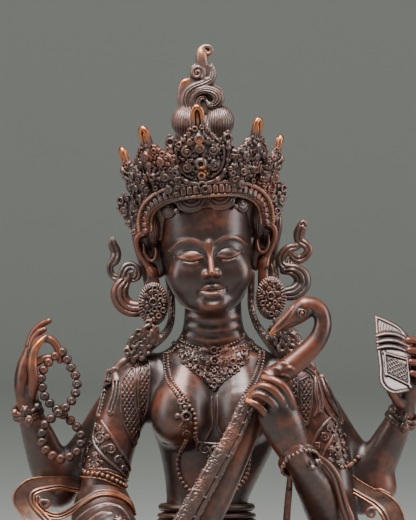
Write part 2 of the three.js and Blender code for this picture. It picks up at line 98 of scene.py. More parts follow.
def spiral(centre: Sequence[float], radius: float, turns: float, start: float = 0.0,
           thick: float = 1.0, end: float = 0.15, count: int = 28) -> np.ndarray:
    """Rows of a spiral that winds inwards in the xz plane, tapering as it goes.

    Args:
        centre: the middle of the spiral.
        radius: its outer radius in millimetres.
        turns: how many turns it makes; negative winds the other way.
        start: the angle of its outer end, in degrees.
        thick: the strand's radius at the outer end.
        end: the share of the radius that is left at the inner end.
        count: how many rows.
    """
    share = np.linspace(0, 1, count)
    angle = math.radians(start) + share * turns * 2 * math.pi
    reach = radius * (1 - (1 - end) * share)
    x, y, z = centre
    return np.stack([x + reach * np.cos(angle), np.full(count, y), z + reach * np.sin(angle),
        thick * (1 - 0.35 * share)], 1)


def mirror(rows: Rows, middle: float = 0.0) -> np.ndarray:
    """The rows mirrored in the plane x = middle."""
    out = np.array(rows, float)
    out[:, 0] = 2 * middle - out[:, 0]
    return out


def unit(v: np.ndarray) -> np.ndarray:
    """Rows of vectors at length one."""
    return v / np.maximum(np.linalg.norm(v, axis=-1, keepdims=True), 1e-9)


def turned(degrees: Sequence[float]) -> np.ndarray:
    """A rotation matrix from XYZ angles in degrees."""
    return np.array(Euler([math.radians(d) for d in degrees]).to_matrix())


class Clay:
    """A signed-distance grid in millimetres that forms are added to and cut from."""

    def __init__(self, low: Sequence[float], high: Sequence[float], voxel: float) -> None:
        """Makes an empty grid.

        Args:
            low: the lowest corner.
            high: the highest corner.
            voxel: the grid's step.
        """
        self.step = voxel * COARSE
        self.margin = 2.5 * self.step
        self.low = np.array(low, float)
        size = np.ceil((np.array(high, float) - self.low) / self.step).astype(int) + 1
        self.values = np.full(tuple(size), FAR, np.float32)

    def _cells(self, low: np.ndarray, high: np.ndarray, origin: np.ndarray,
            shape: Sequence[int]) -> tuple[np.ndarray, np.ndarray] | None:
        """The first and last cells that a box takes up in a grid of this origin and shape, or none."""
        lo = np.clip(np.floor((low - origin) / self.step).astype(int), 0, None)
        hi = np.minimum(np.ceil((high - origin) / self.step).astype(int) + 1, shape)
        return None if (hi <= lo).any() else (lo, hi)

    def _axes(self, lo: Sequence[int] = (0, 0, 0), hi: Sequence[int] | None = None) -> list[np.ndarray]:
        """The x, y and z of the cells between two corners as open arrays; of all cells where none is given."""
        ends = self.values.shape if hi is None else hi
        axes = [(self.low[i] + self.step * np.arange(lo[i], ends[i])).astype(np.float32) for i in range(3)]
        return np.meshgrid(*axes, indexing="ij", sparse=True)

    def _window(self, low: np.ndarray, high: np.ndarray) -> tuple[Window | None, list[np.ndarray]]:
        """The part of the grid inside a box: its slices, or none, and its x, y and z as open arrays."""
        found = self._cells(low, high, self.low, self.values.shape)
        return (tuple(map(slice, *found)), self._axes(*found)) if found else (None, [])

    def _local(self, centre: Sequence[float], turn: Sequence[float],
            reach: float) -> tuple[Window | None, list[np.ndarray]]:
        """The part of the grid within reach of a centre, and its places along the axes of a turned form."""
        c = np.array(centre, float)
        window, axes = self._window(c - reach, c + reach)
        if window is None:
            return None, []
        u = [axes[i] - c[i] for i in range(3)]
        return window, [row[0] * u[0] + row[1] * u[1] + row[2] * u[2] for row in turned(turn).T]

    def _merge(self, window: Window, distance: np.ndarray, blend: float, mode: Mode = Mode.ADD) -> "Clay":
        """Joins a form to the clay, or takes it away, with a rounded seam."""
        sign = 1.0 if mode is Mode.ADD else -1.0
        a, b = sign * self.values[window], distance
        out = np.minimum(a, b)
        if blend > 0:
            h = np.maximum(blend - np.abs(a - b), 0) / blend
            out = out - h * h * blend * 0.25
        self.values[window] = sign * out
        return self

    def limb(self, rows: Rows, blend: float = 1.0, flat: float = 1.0,
            normal: Sequence[float] = (0, 1, 0), count: int = 0, closed: bool = False,
            mode: Mode = Mode.ADD) -> "Clay":
        """A round-ended strand through rows of x, y, z and radius.

        Args:
            rows: the strand's course.
            blend: the width of the rounded seam.
            flat: the strand's thickness along normal, as a share of its width.
            normal: the direction it is flattened in.
            count: how many pieces to draw the curve with; 0 for four to a row.
            closed: whether it is a loop.
            mode: add or cut.
        """
        pts = smooth_path(rows, count or max(len(rows) * 4, 8), closed)
        if closed:
            pts = np.vstack([pts, pts[:1]])
        reach = float(pts[:, 3].max()) + blend + self.margin
        window, axes = self._window(pts[:, :3].min(0) - reach, pts[:, :3].max(0) + reach)
        if window is None:
            return self
        chain = np.full([a.size for a in axes], FAR, np.float32)
        n = np.array(normal, float) / np.linalg.norm(normal)
        origin = np.array([a.ravel()[0] for a in axes])
        for p, q in zip(pts[:-1], pts[1:]):
            near = max(p[3], q[3]) + blend + self.margin
            found = self._cells(np.minimum(p, q)[:3] - near, np.maximum(p, q)[:3] + near, origin, chain.shape)
            if found is None:
                continue
            lo, hi = found
            x, y, z = axes[0][lo[0]:hi[0]], axes[1][:, lo[1]:hi[1]], axes[2][:, :, lo[2]:hi[2]]
            d = q[:3] - p[:3]
            length = float(d @ d) + 1e-9
            ux, uy, uz = x - p[0], y - p[1], z - p[2]
            t = np.clip((ux * d[0] + uy * d[1] + uz * d[2]) / length, 0, 1)
            ux, uy, uz = ux - t * d[0], uy - t * d[1], uz - t * d[2]
            square = ux * ux + uy * uy + uz * uz
            if flat != 1.0:
                along = ux * n[0] + uy * n[1] + uz * n[2]
                square = square + along * along * (1 / flat**2 - 1)
            box = tuple(map(slice, lo, hi))
            chain[box] = np.minimum(chain[box], np.sqrt(square) - (p[3] + t * (q[3] - p[3])))
        return self._merge(window, chain * min(flat, 1.0) ** 0.5, blend, mode)

    def ball(self, centre: Sequence[float], radii: Sequence[float] | float, turn: Sequence[float] = (0, 0, 0),
            blend: float = 1.0, mode: Mode = Mode.ADD) -> "Clay":
        """An ellipsoid.

        Args:
            centre: its middle.
            radii: its three radii, or one.
            turn: its XYZ rotation in degrees.
            blend: the width of the rounded seam.
            mode: add or cut.
        """
        r = np.full(3, float(radii)) if np.isscalar(radii) else np.array(radii, float)
        window, local = self._local(centre, turn, float(r.max()) + blend + self.margin)
        if window is None:
            return self
        k0 = np.sqrt(sum((u / r[i]) ** 2 for i, u in enumerate(local)))
        k1 = np.sqrt(sum((u / r[i] / r[i]) ** 2 for i, u in enumerate(local)))
        return self._merge(window, (k0 * (k0 - 1) / np.maximum(k1, 1e-6)).astype(np.float32), blend, mode)

    def ring(self, centre: Sequence[float], normal: Sequence[float], radius: float, thick: float,
            blend: float = 0.5) -> "Clay":
        """A torus.

        Args:
            centre: its middle.
            normal: its own axis.
            radius: from the middle to the strand's centre.
            thick: the strand's radius.
            blend: the width of the rounded seam.
        """
        rows = 24
        n = np.array(normal, float) / np.linalg.norm(normal)
        side = np.cross(n, (0.0, 0.0, 1.0) if abs(n[2]) < 0.9 else (1.0, 0.0, 0.0))
        side /= np.linalg.norm(side)
        a = np.linspace(0, 2 * math.pi, rows, endpoint=False)[:, None]
        pts = np.array(centre) + radius * (np.cos(a) * side + np.sin(a) * np.cross(n, side))
        return self.limb(np.hstack([pts, np.full((rows, 1), thick)]), blend, count=36, closed=True)

    def block(self, centre: Sequence[float], half: Sequence[float], turn: Sequence[float] = (0, 0, 0),
            soft: float = 0.5, blend: float = 0.3) -> "Clay":
        """A box with rounded edges.

        Args:
            centre: its middle.
            half: its half-sizes.
            turn: its XYZ rotation in degrees.
            soft: the edges' radius.
            blend: the width of the rounded seam.
        """
        window, local = self._local(centre, turn, float(np.linalg.norm(half)) + blend + self.margin)
        if window is None:
            return self
        q = [np.abs(u) - (h - soft) for u, h in zip(local, half)]
        outside = np.sqrt(sum(np.maximum(v, 0) ** 2 for v in q))
        inside = np.minimum(np.maximum(np.maximum(q[0], q[1]), q[2]), 0)
        return self._merge(window, (outside + inside - soft).astype(np.float32), blend)

    def loft(self, rows: Rows, blend: float = 2.0, power: float = 2.0) -> "Clay":
        """A stack of level ovals, each row being z, centre x, centre y, half-width and half-depth.

        Args:
            rows: the ovals, from the lowest up.
            blend: the width of the rounded seam.
            power: 2 for ellipses, more for squarer ovals.
        """
        room, pull = 3, 0.92
        stack = smooth_path(rows, len(rows) * 8)
        stack = stack[np.argsort(stack[:, 0])]
        heights, middles, halves = stack[:, 0], stack[:, 1:3], stack[:, 3:5]
        reach = halves.max(0) + blend + room
        window, (x, y, z) = self._window(np.append(middles.min(0) - reach, heights[0] - room),
            np.append(middles.max(0) + reach, heights[-1] + room))
        cx, cy, a, b = (np.interp(z, heights, stack[:, i]).astype(np.float32) for i in (1, 2, 3, 4))
        u, v = np.abs(x - cx) / a, np.abs(y - cy) / b
        rho = np.maximum((u**power + v**power) ** (1 / power), 1e-4)
        size = np.sqrt((u * a) ** 2 + (v * b) ** 2) / rho
        side = (rho - 1) * np.maximum(size, 0.5) * pull
        cap = np.maximum(heights[0] - z, z - heights[-1])
        return self._merge(window, np.maximum(side, cap).astype(np.float32), blend)

    def plate(self, outline: Rows, half: float) -> "Clay":
        """A flat plate in the xz plane with a rounded rim.

        Args:
            outline: its corners as x, z.
            half: half its thickness.
        """
        soft = 0.6
        pts = np.array(outline, float)
        x, y, z = self._axes()
        px, pz = np.broadcast_arrays(x[:, 0], z[0, 0][None, :])
        best = np.full(px.shape, 1e9, np.float32)
        inside = np.zeros(px.shape, bool)
        for p, q in zip(pts, np.roll(pts, -1, 0)):
            d = q - p
            t = np.clip(((px - p[0]) * d[0] + (pz - p[1]) * d[1]) / max(d @ d, 1e-9), 0, 1)
            best = np.minimum(best, (px - p[0] - t * d[0]) ** 2 + (pz - p[1] - t * d[1]) ** 2)
            cross = (p[1] > pz) != (q[1] > pz)
            slope = (q[0] - p[0]) * (pz - p[1]) / (q[1] - p[1] + 1e-12) + p[0]
            inside ^= cross & (px < slope)
        flat = np.where(inside, -np.sqrt(best), np.sqrt(best))[:, None, :] + soft
        thick = np.abs(y) - half + soft
        out = np.sqrt(np.maximum(flat, 0) ** 2 + np.maximum(thick, 0) ** 2)
        distance = out + np.minimum(np.maximum(flat, thick), 0) - soft
        return self._merge((slice(None),) * 3, distance.astype(np.float32), 0)

    def trim(self, floor: float) -> "Clay":
        """Cuts away what lies below a height."""
        z = self._axes()[2]
        self.values = np.maximum(self.values, floor - z)
        return self

    def surface(self, place: Place | None = None) -> "Shell":
        """The clay's skin as plain arrays.

        Args:
            place: moves the points into the row frame; none if they are there already.
        """
        for side in (0, -1):
            self.values[side] = self.values[:, side] = self.values[:, :, side] = FAR
        grid = openvdb.FloatGrid(background=FAR)
        grid.copyFromArray(np.clip(self.values, -FAR, FAR))
        points, tris, quads = grid.convertToPolygons(isovalue=0.0, adaptivity=0.0)
        points = np.asarray(points, float) * self.step + self.low
        faces = [np.asarray(quads, int)[:, ::-1], np.asarray(tris, int).reshape(-1, 3)[:, ::-1]]
        return outward(Shell(place(points) if place else points, [f for f in faces if len(f)]))

    def front(self, rows: Rows, sink: float = 0.0) -> np.ndarray:
        """The rows with y moved to the clay's front surface, then sink millimetres in."""
        out = np.array(rows, float)
        for row in out:
            i, k = (int(round((row[a] - self.low[a]) / self.step)) for a in (0, 2))
            column = self.values[i, :, k]
            inside = np.nonzero(column < 0)[0]
            if len(inside):
                j = int(inside[0])
                share = column[j - 1] / (column[j - 1] - column[j])
                row[1] = self.low[1] + self.step * (j - 1 + share) + sink
        return out

    def line(self, flat: Rows, sink: float, blend: float, mode: Mode = Mode.ADD, density: int = 6) -> "Clay":
        """A fine strand over the front surface.

        Args:
            flat: x, z and radius along it.
            sink: how far its centre lies under the surface.
            blend: the width of the rounded seam.
            mode: add or cut.
            density: points for each row given.
        """
        path = smooth_path(flat, len(flat) * density)
        rows = np.stack([path[:, 0], np.zeros(len(path)), path[:, 1], path[:, 2]], 1)
        rows = self.front(rows, sink)
        for _ in range(3):
            rows[1:-1, 1] = 0.25 * rows[:-2, 1] + 0.5 * rows[1:-1, 1] + 0.25 * rows[2:, 1]
        return self.limb(rows, blend, count=len(rows), mode=mode)

    def lock(self, rows: Rows, grooves: int = 2, flat: float = 0.7, blend: float = 0.6, cut: float = 0.3,
             depth: float = 0.25) -> "Clay":
        """A strand in the xz plane with grooves along its front, such as a lock of hair.

        Args:
            rows: x, y, z and radius.
            grooves: how many grooves.
            flat: its thickness as a share of its width.
            blend: the width of the rounded seam.
            cut: the grooves' radius.
            depth: how far each groove's centre lies under the surface.
        """
        path = smooth_path(rows, len(rows) * 5)
        self.limb(path, blend, flat=flat, count=len(path))
        along = unit(np.gradient(path[:, :3], axis=0))
        side = unit(np.cross(along, (0, 1, 0)))
        for share in (np.arange(grooves) + 1) / (grooves + 1) * 2 - 1:
            groove = path.copy()
            groove[:, :3] += side * (share * path[:, 3:4])
            groove[:, 1] -= path[:, 3] * flat * math.sqrt(1 - share**2) - depth
            groove[:, 3] = cut * np.clip(path[:, 3] / path[:, 3].max() * 1.4, 0.3, 1)
            self.limb(groove[1:-1], 0.25, count=len(path), mode=Mode.CUT)
        return self


@dataclass
class Shell:
    """Points in millimetres and the faces between them, as arrays of equal-sided faces."""

    points: np.ndarray
    faces: list[np.ndarray]

    def __add__(self, other: "Shell") -> "Shell":
        """Both shells as one."""
        return Shell(np.vstack([self.points, other.points]),
                     self.faces + [f + len(self.points) for f in other.faces])

    def edges(self) -> np.ndarray:
        """Every edge once in each direction."""
        pairs = [np.stack([f, np.roll(f, -1, 1)], -1).reshape(-1, 2) for f in self.faces]
        both = np.vstack(pairs)
        return np.vstack([both, both[:, ::-1]])

    def normals(self) -> np.ndarray:
        """Outward directions at the points."""
        out = np.zeros_like(self.points)
        for f in self.faces:
            p = self.points[f]
            n = np.cross(p[:, 2] - p[:, 0], p[:, -1] - p[:, 1])
            for k in range(f.shape[1]):
                for axis in range(3):
                    out[:, axis] += np.bincount(f[:, k], n[:, axis], len(out))
        return unit(out)

    def relief(self, rounds: int) -> np.ndarray:
        """How far each point stands above its neighbourhood, in millimetres."""
        e = self.edges()
        count = np.maximum(np.bincount(e[:, 0], minlength=len(self.points)), 1)[:, None]
        soft = self.points.copy()
        for _ in range(rounds):
            total = np.stack([np.bincount(e[:, 0], soft[e[:, 1], k], len(soft)) for k in range(3)], 1)
            soft = 0.5 * soft + 0.5 * total / count
        return ((self.points - soft) * self.normals()).sum(1)

    def tree(self) -> BVHTree:
        """A search tree of the shell."""
        polygons = [tuple(row) for f in self.faces for row in f.tolist()]
        return BVHTree.FromPolygons(self.points.tolist(), polygons)


def skin(rings: int, sides: int) -> list[np.ndarray]:
    """The faces of a tube of rings, its ends drawn in to two points that follow the last ring.

    Args:
        rings: how many rings.
        sides: how many points to a ring.
    """
    k = np.arange(sides)
    n = (k + 1) % sides
    quads = [np.stack([a + k, a + n, a + sides + n, a + sides + k], 1)
        for a in np.arange(rings - 1) * sides]
    last, end = (rings - 1) * sides, rings * sides
    caps = [np.stack([n, k, np.full(sides, end)], 1),
        np.stack([last + k, last + n, np.full(sides, end + 1)], 1)]
    return [np.vstack(part) for part in (quads, caps) if part]


def lathe(profile: Rows, sides: int = 12) -> Shell:
    """A turned form whose profile of radius and height starts and ends on the axis."""
    prof = np.array(profile, float)
    ring = prof[1:-1]
    a = np.linspace(0, 2 * math.pi, sides, endpoint=False)
    body = np.stack([np.outer(ring[:, 0], np.cos(a)), np.outer(ring[:, 0], np.sin(a)),
        np.repeat(ring[:, 1:2], sides, 1)], -1).reshape(-1, 3)
    return Shell(np.vstack([body, [0, 0, prof[0, 1]], [0, 0, prof[-1, 1]]]), skin(len(ring), sides))


def sweep(rows: Rows, profile: Rows, facing: Sequence[float] | np.ndarray, count: int = 0) -> Shell:
    """A closed strip whose section follows a path.

    Args:
        rows: x, y, z, width and thickness along the path.
        profile: the section as across and out, going round anticlockwise.
        facing: the direction that out leans towards, one or one for each row.
        count: how many sections; 0 for six to a row.
    """
    rows = np.array(rows, float)
    face = np.broadcast_to(np.array(facing, float), (len(rows), 3))
    path = smooth_path(np.hstack([rows, face]), count or len(rows) * 6)
    p, size, f = path[:, :3], np.maximum(path[:, 3:5], 0.05), unit(path[:, 5:8])
    along = unit(np.gradient(p, axis=0))
    across = unit(np.cross(along, f))
    out = np.cross(across, along)
    prof = np.array(profile, float)
    pts = (p[:, None] + across[:, None] * (prof[None, :, :1] * size[:, None, :1])
        + out[:, None] * (prof[None, :, 1:] * size[:, None, 1:])).reshape(-1, 3)
    sides = len(prof)
    ends = np.vstack([pts, pts[:sides].mean(0), pts[-sides:].mean(0)])
    return outward(Shell(ends, skin(len(p), sides)))


def outward(shell: Shell) -> Shell:
    """The shell with its faces turned outwards, judged by its volume."""
    volume = 0.0
    for f in shell.faces:
        p = shell.points[f]
        for k in range(1, f.shape[1] - 1):
            volume += float(np.einsum("ij,ij->i", p[:, 0], np.cross(p[:, k], p[:, k + 1])).sum())
    return shell if volume >= 0 else Shell(shell.points, [f[:, ::-1] for f in shell.faces])


def tube(rows: np.ndarray, sides: int) -> Shell:
    """A round strand through rows of x, y, z and radius."""
    a = np.linspace(0, 2 * math.pi, sides, endpoint=False)
    circle = np.stack([np.cos(a), np.sin(a)], 1)
    return sweep(np.hstack([rows, rows[:, 3:]]), circle, (0.12, -1, 0.07), count=len(rows) * 3)


@dataclass
class Nodes:
    """A node tree under construction."""

    tree: bpy.types.NodeTree

    def add(self, kind: str, sockets: dict | None = None, **settings: object) -> bpy.types.Node:
        """A node of one type.

        Args:
            kind: its type.
            sockets: for each input, by name or number, the socket or Value that feeds it, or its value.
            settings: its own settings, which are made first.
        """
        made = self.tree.nodes.new(kind)
        for key, setting in settings.items():
            setattr(made, key, setting)
        self.feed(made, sockets or {})
        return made

    def feed(self, made: bpy.types.Node, sockets: dict) -> None:
        """Links a node's inputs, or sets their values; the sockets are as in add."""
        for key, value in sockets.items():
            source = value.socket if isinstance(value, Value) else value
            if isinstance(source, bpy.types.NodeSocket):
                self.tree.links.new(source, made.inputs[key])
            else:
                made.inputs[key].default_value = source


@dataclass(frozen=True)
class Value:
    """A shader value that works out like a number."""

    nodes: Nodes
    socket: bpy.types.NodeSocket

    def _math(self, kind: str, *terms: "Value | float") -> "Value":
        """A Math node of this kind on these terms."""
        made = self.nodes.add("ShaderNodeMath", dict(enumerate(terms)), operation=kind)
        return Value(self.nodes, made.outputs[0])

    def __add__(self, other: "Value | float") -> "Value":
        """Sum."""
        return self._math("ADD", self, other)

    def __radd__(self, other: float) -> "Value":
        """Sum, the number first."""
        return self._math("ADD", other, self)

    def __sub__(self, other: "Value | float") -> "Value":
        """Difference."""
        return self._math("SUBTRACT", self, other)

    def __rsub__(self, other: float) -> "Value":
        """Difference, the number first."""
        return self._math("SUBTRACT", other, self)

    def __mul__(self, other: "Value | float") -> "Value":
        """Product."""
        return self._math("MULTIPLY", self, other)

    def __rmul__(self, other: float) -> "Value":
        """Product, the number first."""
        return self._math("MULTIPLY", other, self)

    def between(self, low: float, high: float) -> "Value":
        """A smooth step from 0 at low to 1 at high."""
        made = self.nodes.add("ShaderNodeMapRange", {"Value": self, "From Min": low, "From Max": high},
            interpolation_type="SMOOTHSTEP")
        return Value(self.nodes, made.outputs["Result"])


@dataclass(frozen=True)
class Patina:
    """A waxed brown patina on copper, rubbed bright where it stands out and black where it is deep.

    Attributes:
        name: the material's name.
        base: the patina's colour.
        warm: its redder patches, where the form swells.
        edge: the paler brown of small raised edges.
        dusty_sheen: the greyish bloom on the topknot and the scarves, partly a paler dusty tone and partly a
            painted sheen of light from above.
        deep: the colour in the hollows and the specks.
        rubbed: bare copper.
        wear: the relief in millimetres where the rubbing starts, and where it is complete.
        ridge: the same for the paler edges.
        hollow: the same for the black of the hollows.
        swell: the swelling where the redder patches start, and where they are complete.
        speck: the same for the specks, on their noise.
        noise: scale and detail of the broad, fine, grain and speck noises.
        roughness: of the patina.
        metal: how metallic it is.
        coat: the wax's weight, roughness and tint.
        bump: the strength of the fine bumps, and their height in metres.
    """

    name: str
    base: tuple[float, ...] = (0.029, 0.0155, 0.0118)
    warm: tuple[float, ...] = (0.135, 0.037, 0.0165)
    edge: tuple[float, ...] = (0.215, 0.118, 0.090)
    dusty_sheen: tuple[float, ...] = (0.215, 0.142, 0.118)
    deep: tuple[float, ...] = (0.0055, 0.0045, 0.0045)
    rubbed: tuple[float, ...] = (0.50, 0.170, 0.055)
    wear: tuple[float, float] = (0.16, 0.62)
    ridge: tuple[float, float] = (0.02, 0.24)
    hollow: tuple[float, float] = (0.03, 0.24)
    swell: tuple[float, float] = (-0.05, 0.62)
    speck: tuple[float, float] = (-0.42, -0.24)
    noise: tuple[tuple[float, float], ...] = ((48, 3), (330, 4), (1500, 3), (3600, 1))
    roughness: float = 0.38
    metal: float = 0.42
    coat: tuple[float, float, tuple[float, ...]] = (0.5, 0.33, (1.0, 0.93, 0.91, 1.0))
    bump: tuple[float, float] = (0.22, 0.0004)

    def noises(self, nodes: Nodes) -> list[Value]:
        """The broad, fine, grain and speck noises on Object coordinates."""
        place = nodes.add("ShaderNodeTexCoord").outputs["Object"]
        made = [nodes.add("ShaderNodeTexNoise", {"Vector": place, "Scale": scale, "Detail": detail})
            for scale, detail in self.noise]
        return [Value(nodes, one.outputs["Fac"]) for one in made]

    def build(self) -> bpy.types.Material:
        """The Blender material."""
        mat = bpy.data.materials.new(self.name)
        mat.use_nodes = True
        nodes = Nodes(mat.node_tree)
        relief, rub, swell, dust = (Value(nodes, nodes.add("ShaderNodeAttribute",
            attribute_name=name).outputs["Fac"]) for name in ("relief", "rub", "swell", "dust"))
        broad, fine, grain, speck = self.noises(nodes)
        even, wide = fine - 0.5, broad - 0.5
        bright = (relief + even * 0.34 + wide * 0.34 + rub * 0.6).between(*self.wear)
        ridge = (relief + even * 0.08 + rub * 0.3).between(*self.ridge)
        hollow = (relief * -1.8 + even * 0.05 + (grain - 0.5) * 0.02).between(*self.hollow)
        patch = (swell * 1.5 + wide * 2.1 + even * 0.9).between(*self.swell)
        spots = ((grain - 0.5) * 0.6 - speck).between(*self.speck)
        colour = (*self.base, 1.0)
        # the greyish bloom mixed in here is partly a paler dusty tone and partly a painted sheen, lightening
        # the pieces given it, chiefly the topknot, as light from above would
        for share, tint in ((patch * 0.92, self.warm), (dust + even * 0.5 * dust, self.dusty_sheen),
                (ridge * 0.5, self.edge), (bright * 0.8, self.rubbed), (hollow * 0.95, self.deep),
                (spots * 0.45, self.deep)):
            mixed = nodes.add("ShaderNodeMix", {0: share, 6: colour, 7: (*tint, 1.0)}, data_type="RGBA")
            colour = mixed.outputs[2]
        weight, gloss, tint = self.coat
        strength, height = self.bump
        bump = nodes.add("ShaderNodeBump", {"Height": grain * 0.5 + fine + speck * 0.25, "Strength": strength,
            "Distance": height})
        nodes.feed(mat.node_tree.nodes[SHADER], {
            "Base Color": colour,
            "Roughness": even * 0.22 + wide * 0.14 + self.roughness - bright * 0.08 + hollow * 0.3,
            "Metallic": bright * 0.5 + self.metal - hollow * 0.3,
            "Coat Weight": weight - hollow * 0.4,
            "Coat Roughness": gloss,
            "Coat Tint": tint,
            "Normal": bump.outputs["Normal"]})
        return mat


@dataclass
class Rub:
    """Where hands have rubbed the copper bright: spots of x, y, z and radius in millimetres."""

    spots: list[tuple[float, float, float, float]] = field(default_factory=list)

    def at(self, points: np.ndarray) -> np.ndarray:
        """How rubbed each point is, from 0 to 1."""
        fall = 1.5
        share = np.zeros(len(points))
        for x, y, z, radius in self.spots:
            far = ((points - (x, y, z)) ** 2).sum(1) / radius**2
            share = np.maximum(share, np.exp(-fall * far))
        return share


def shell_of(mesh: bpy.types.Mesh) -> Shell:
    """A Blender mesh, in metres, as a shell in millimetres."""
    points = np.empty(len(mesh.vertices) * 3)
    mesh.vertices.foreach_get("co", points)
    corners = np.empty(len(mesh.loops), int)
    mesh.loops.foreach_get("vertex_index", corners)
    starts = np.empty(len(mesh.polygons), int)
    totals = np.empty(len(mesh.polygons), int)
    mesh.polygons.foreach_get("loop_start", starts)
    mesh.polygons.foreach_get("loop_total", totals)
    faces = [corners[starts[totals == n][:, None] + np.arange(n)] for n in np.unique(totals)]
    return Shell(points.reshape(-1, 3) / MM, faces)


def mesh_of(name: str, shell: Shell) -> bpy.types.Mesh:
    """A shell as a smooth-shaded Blender mesh in metres."""
    mesh = bpy.data.meshes.new(name)
    faces = [row for f in shell.faces for row in f.tolist()]
    mesh.from_pydata((shell.points * MM).tolist(), [], faces)
    mesh.shade_smooth()
    return mesh


def lean(mesh: bpy.types.Mesh, budget: float) -> bpy.types.Mesh:
    """The mesh collapsed to a budget in thousands of triangles, its attributes kept."""
    count = sum(len(p.vertices) - 2 for p in mesh.polygons)
    share = budget * 1000 / count
    if share >= 1:
        return mesh
    obj = bpy.data.objects.new("lean", mesh)
    bpy.context.scene.collection.objects.link(obj)
    modifier = obj.modifiers.new("lean", "DECIMATE")
    modifier.ratio = share
    graph = bpy.context.evaluated_depsgraph_get()
    graph.update()
    out = bpy.data.meshes.new_from_object(
        obj.evaluated_get(graph), preserve_all_data_layers=True, depsgraph=graph)
    obj.modifiers.clear()
    bpy.data.objects.remove(obj)
    out.shade_smooth()
    return out


def thinned(shell: Shell, budget: float) -> Shell:
    """The shell collapsed to a budget in thousands of triangles."""
    return shell_of(lean(mesh_of("thinned", shell), budget))


@dataclass(frozen=True)
class Wear:
    """How a piece weathers, and how much of it is kept.

    Attributes:
        rounds: how wide a neighbourhood its relief is measured over.
        gain: how strongly the relief shows.
        extra: rubbing added everywhere.
        broad: as rounds, for the swell of the form; 0 for none.
        budget: how many thousand triangles to keep; 0 for all.
        dust: how much greyish bloom lies on it, from 0 to 1; partly dust and partly a painted sheen.
    """

    rounds: int = 10
    gain: float = 1.0
    extra: float = 0.0
    broad: int = 0
    budget: float = 0.0
    dust: float = 0.0


@dataclass
class Pieces:
    """Makes the visible pieces, parents each to the root body and hides the CAD part it stands for."""

    finishes: dict[Part, bpy.types.Material]
    rub: Rub

    def weather(self, mesh: bpy.types.Mesh, wear: Wear) -> None:
        """Stores how far each point stands out, how rubbed it is, how the form swells and the bloom, which is
        partly dust and partly painted sheen.
        """
        shell = shell_of(mesh)
        count = len(shell.points)
        still, growth = 0.05, 8
        swell = np.full(count, still)
        if wear.broad:
            e = shell.edges()
            step = float(np.linalg.norm(shell.points[e[:, 0]] - shell.points[e[:, 1]], axis=1).mean())
            swell = shell.relief(wear.broad) * growth / (wear.broad * step**2)
        # the last attribute is the greyish bloom, partly dust and partly painted sheen
        for name, values in (("relief", shell.relief(wear.rounds) * wear.gain),
                ("rub", self.rub.at(shell.points) + wear.extra), ("swell", swell),
                ("dust", np.full(count, wear.dust))):
            layer = mesh.attributes.new(name, "FLOAT", "POINT")
            layer.data.foreach_set("value", values.astype(np.float32))

    def add(self, name: str, shell: Shell, wear: Wear = Wear(), part: Part = Part.FIGURE) -> None:
        """Makes a finished piece of a shell.

        Args:
            name: the object's name.
            shell: its form, in the row frame.
            wear: how it weathers.
            part: the CAD node it stands for.
        """
        self.keep(name, mesh_of(name, shell), wear, part)

    def keep(self, name: str, mesh: bpy.types.Mesh, wear: Wear, part: Part) -> None:
        """Makes a finished piece of a mesh; the arguments are those of add."""
        self.weather(mesh, wear)
        if wear.budget:
            mesh = lean(mesh, wear.budget)
        mesh.materials.clear()
        mesh.materials.append(self.finishes[part])
        obj = bpy.data.objects.new(name, mesh)
        bpy.context.scene.collection.objects.link(obj)
        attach(obj, "root")
        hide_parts(part.value)
        log.info("%s: %d faces", name, len(mesh.polygons))


@dataclass
class Course:
    """A path for repeated forms: its points, and the way out from the surface at each or at all."""

    points: np.ndarray
    facing: np.ndarray
    closed: bool = False


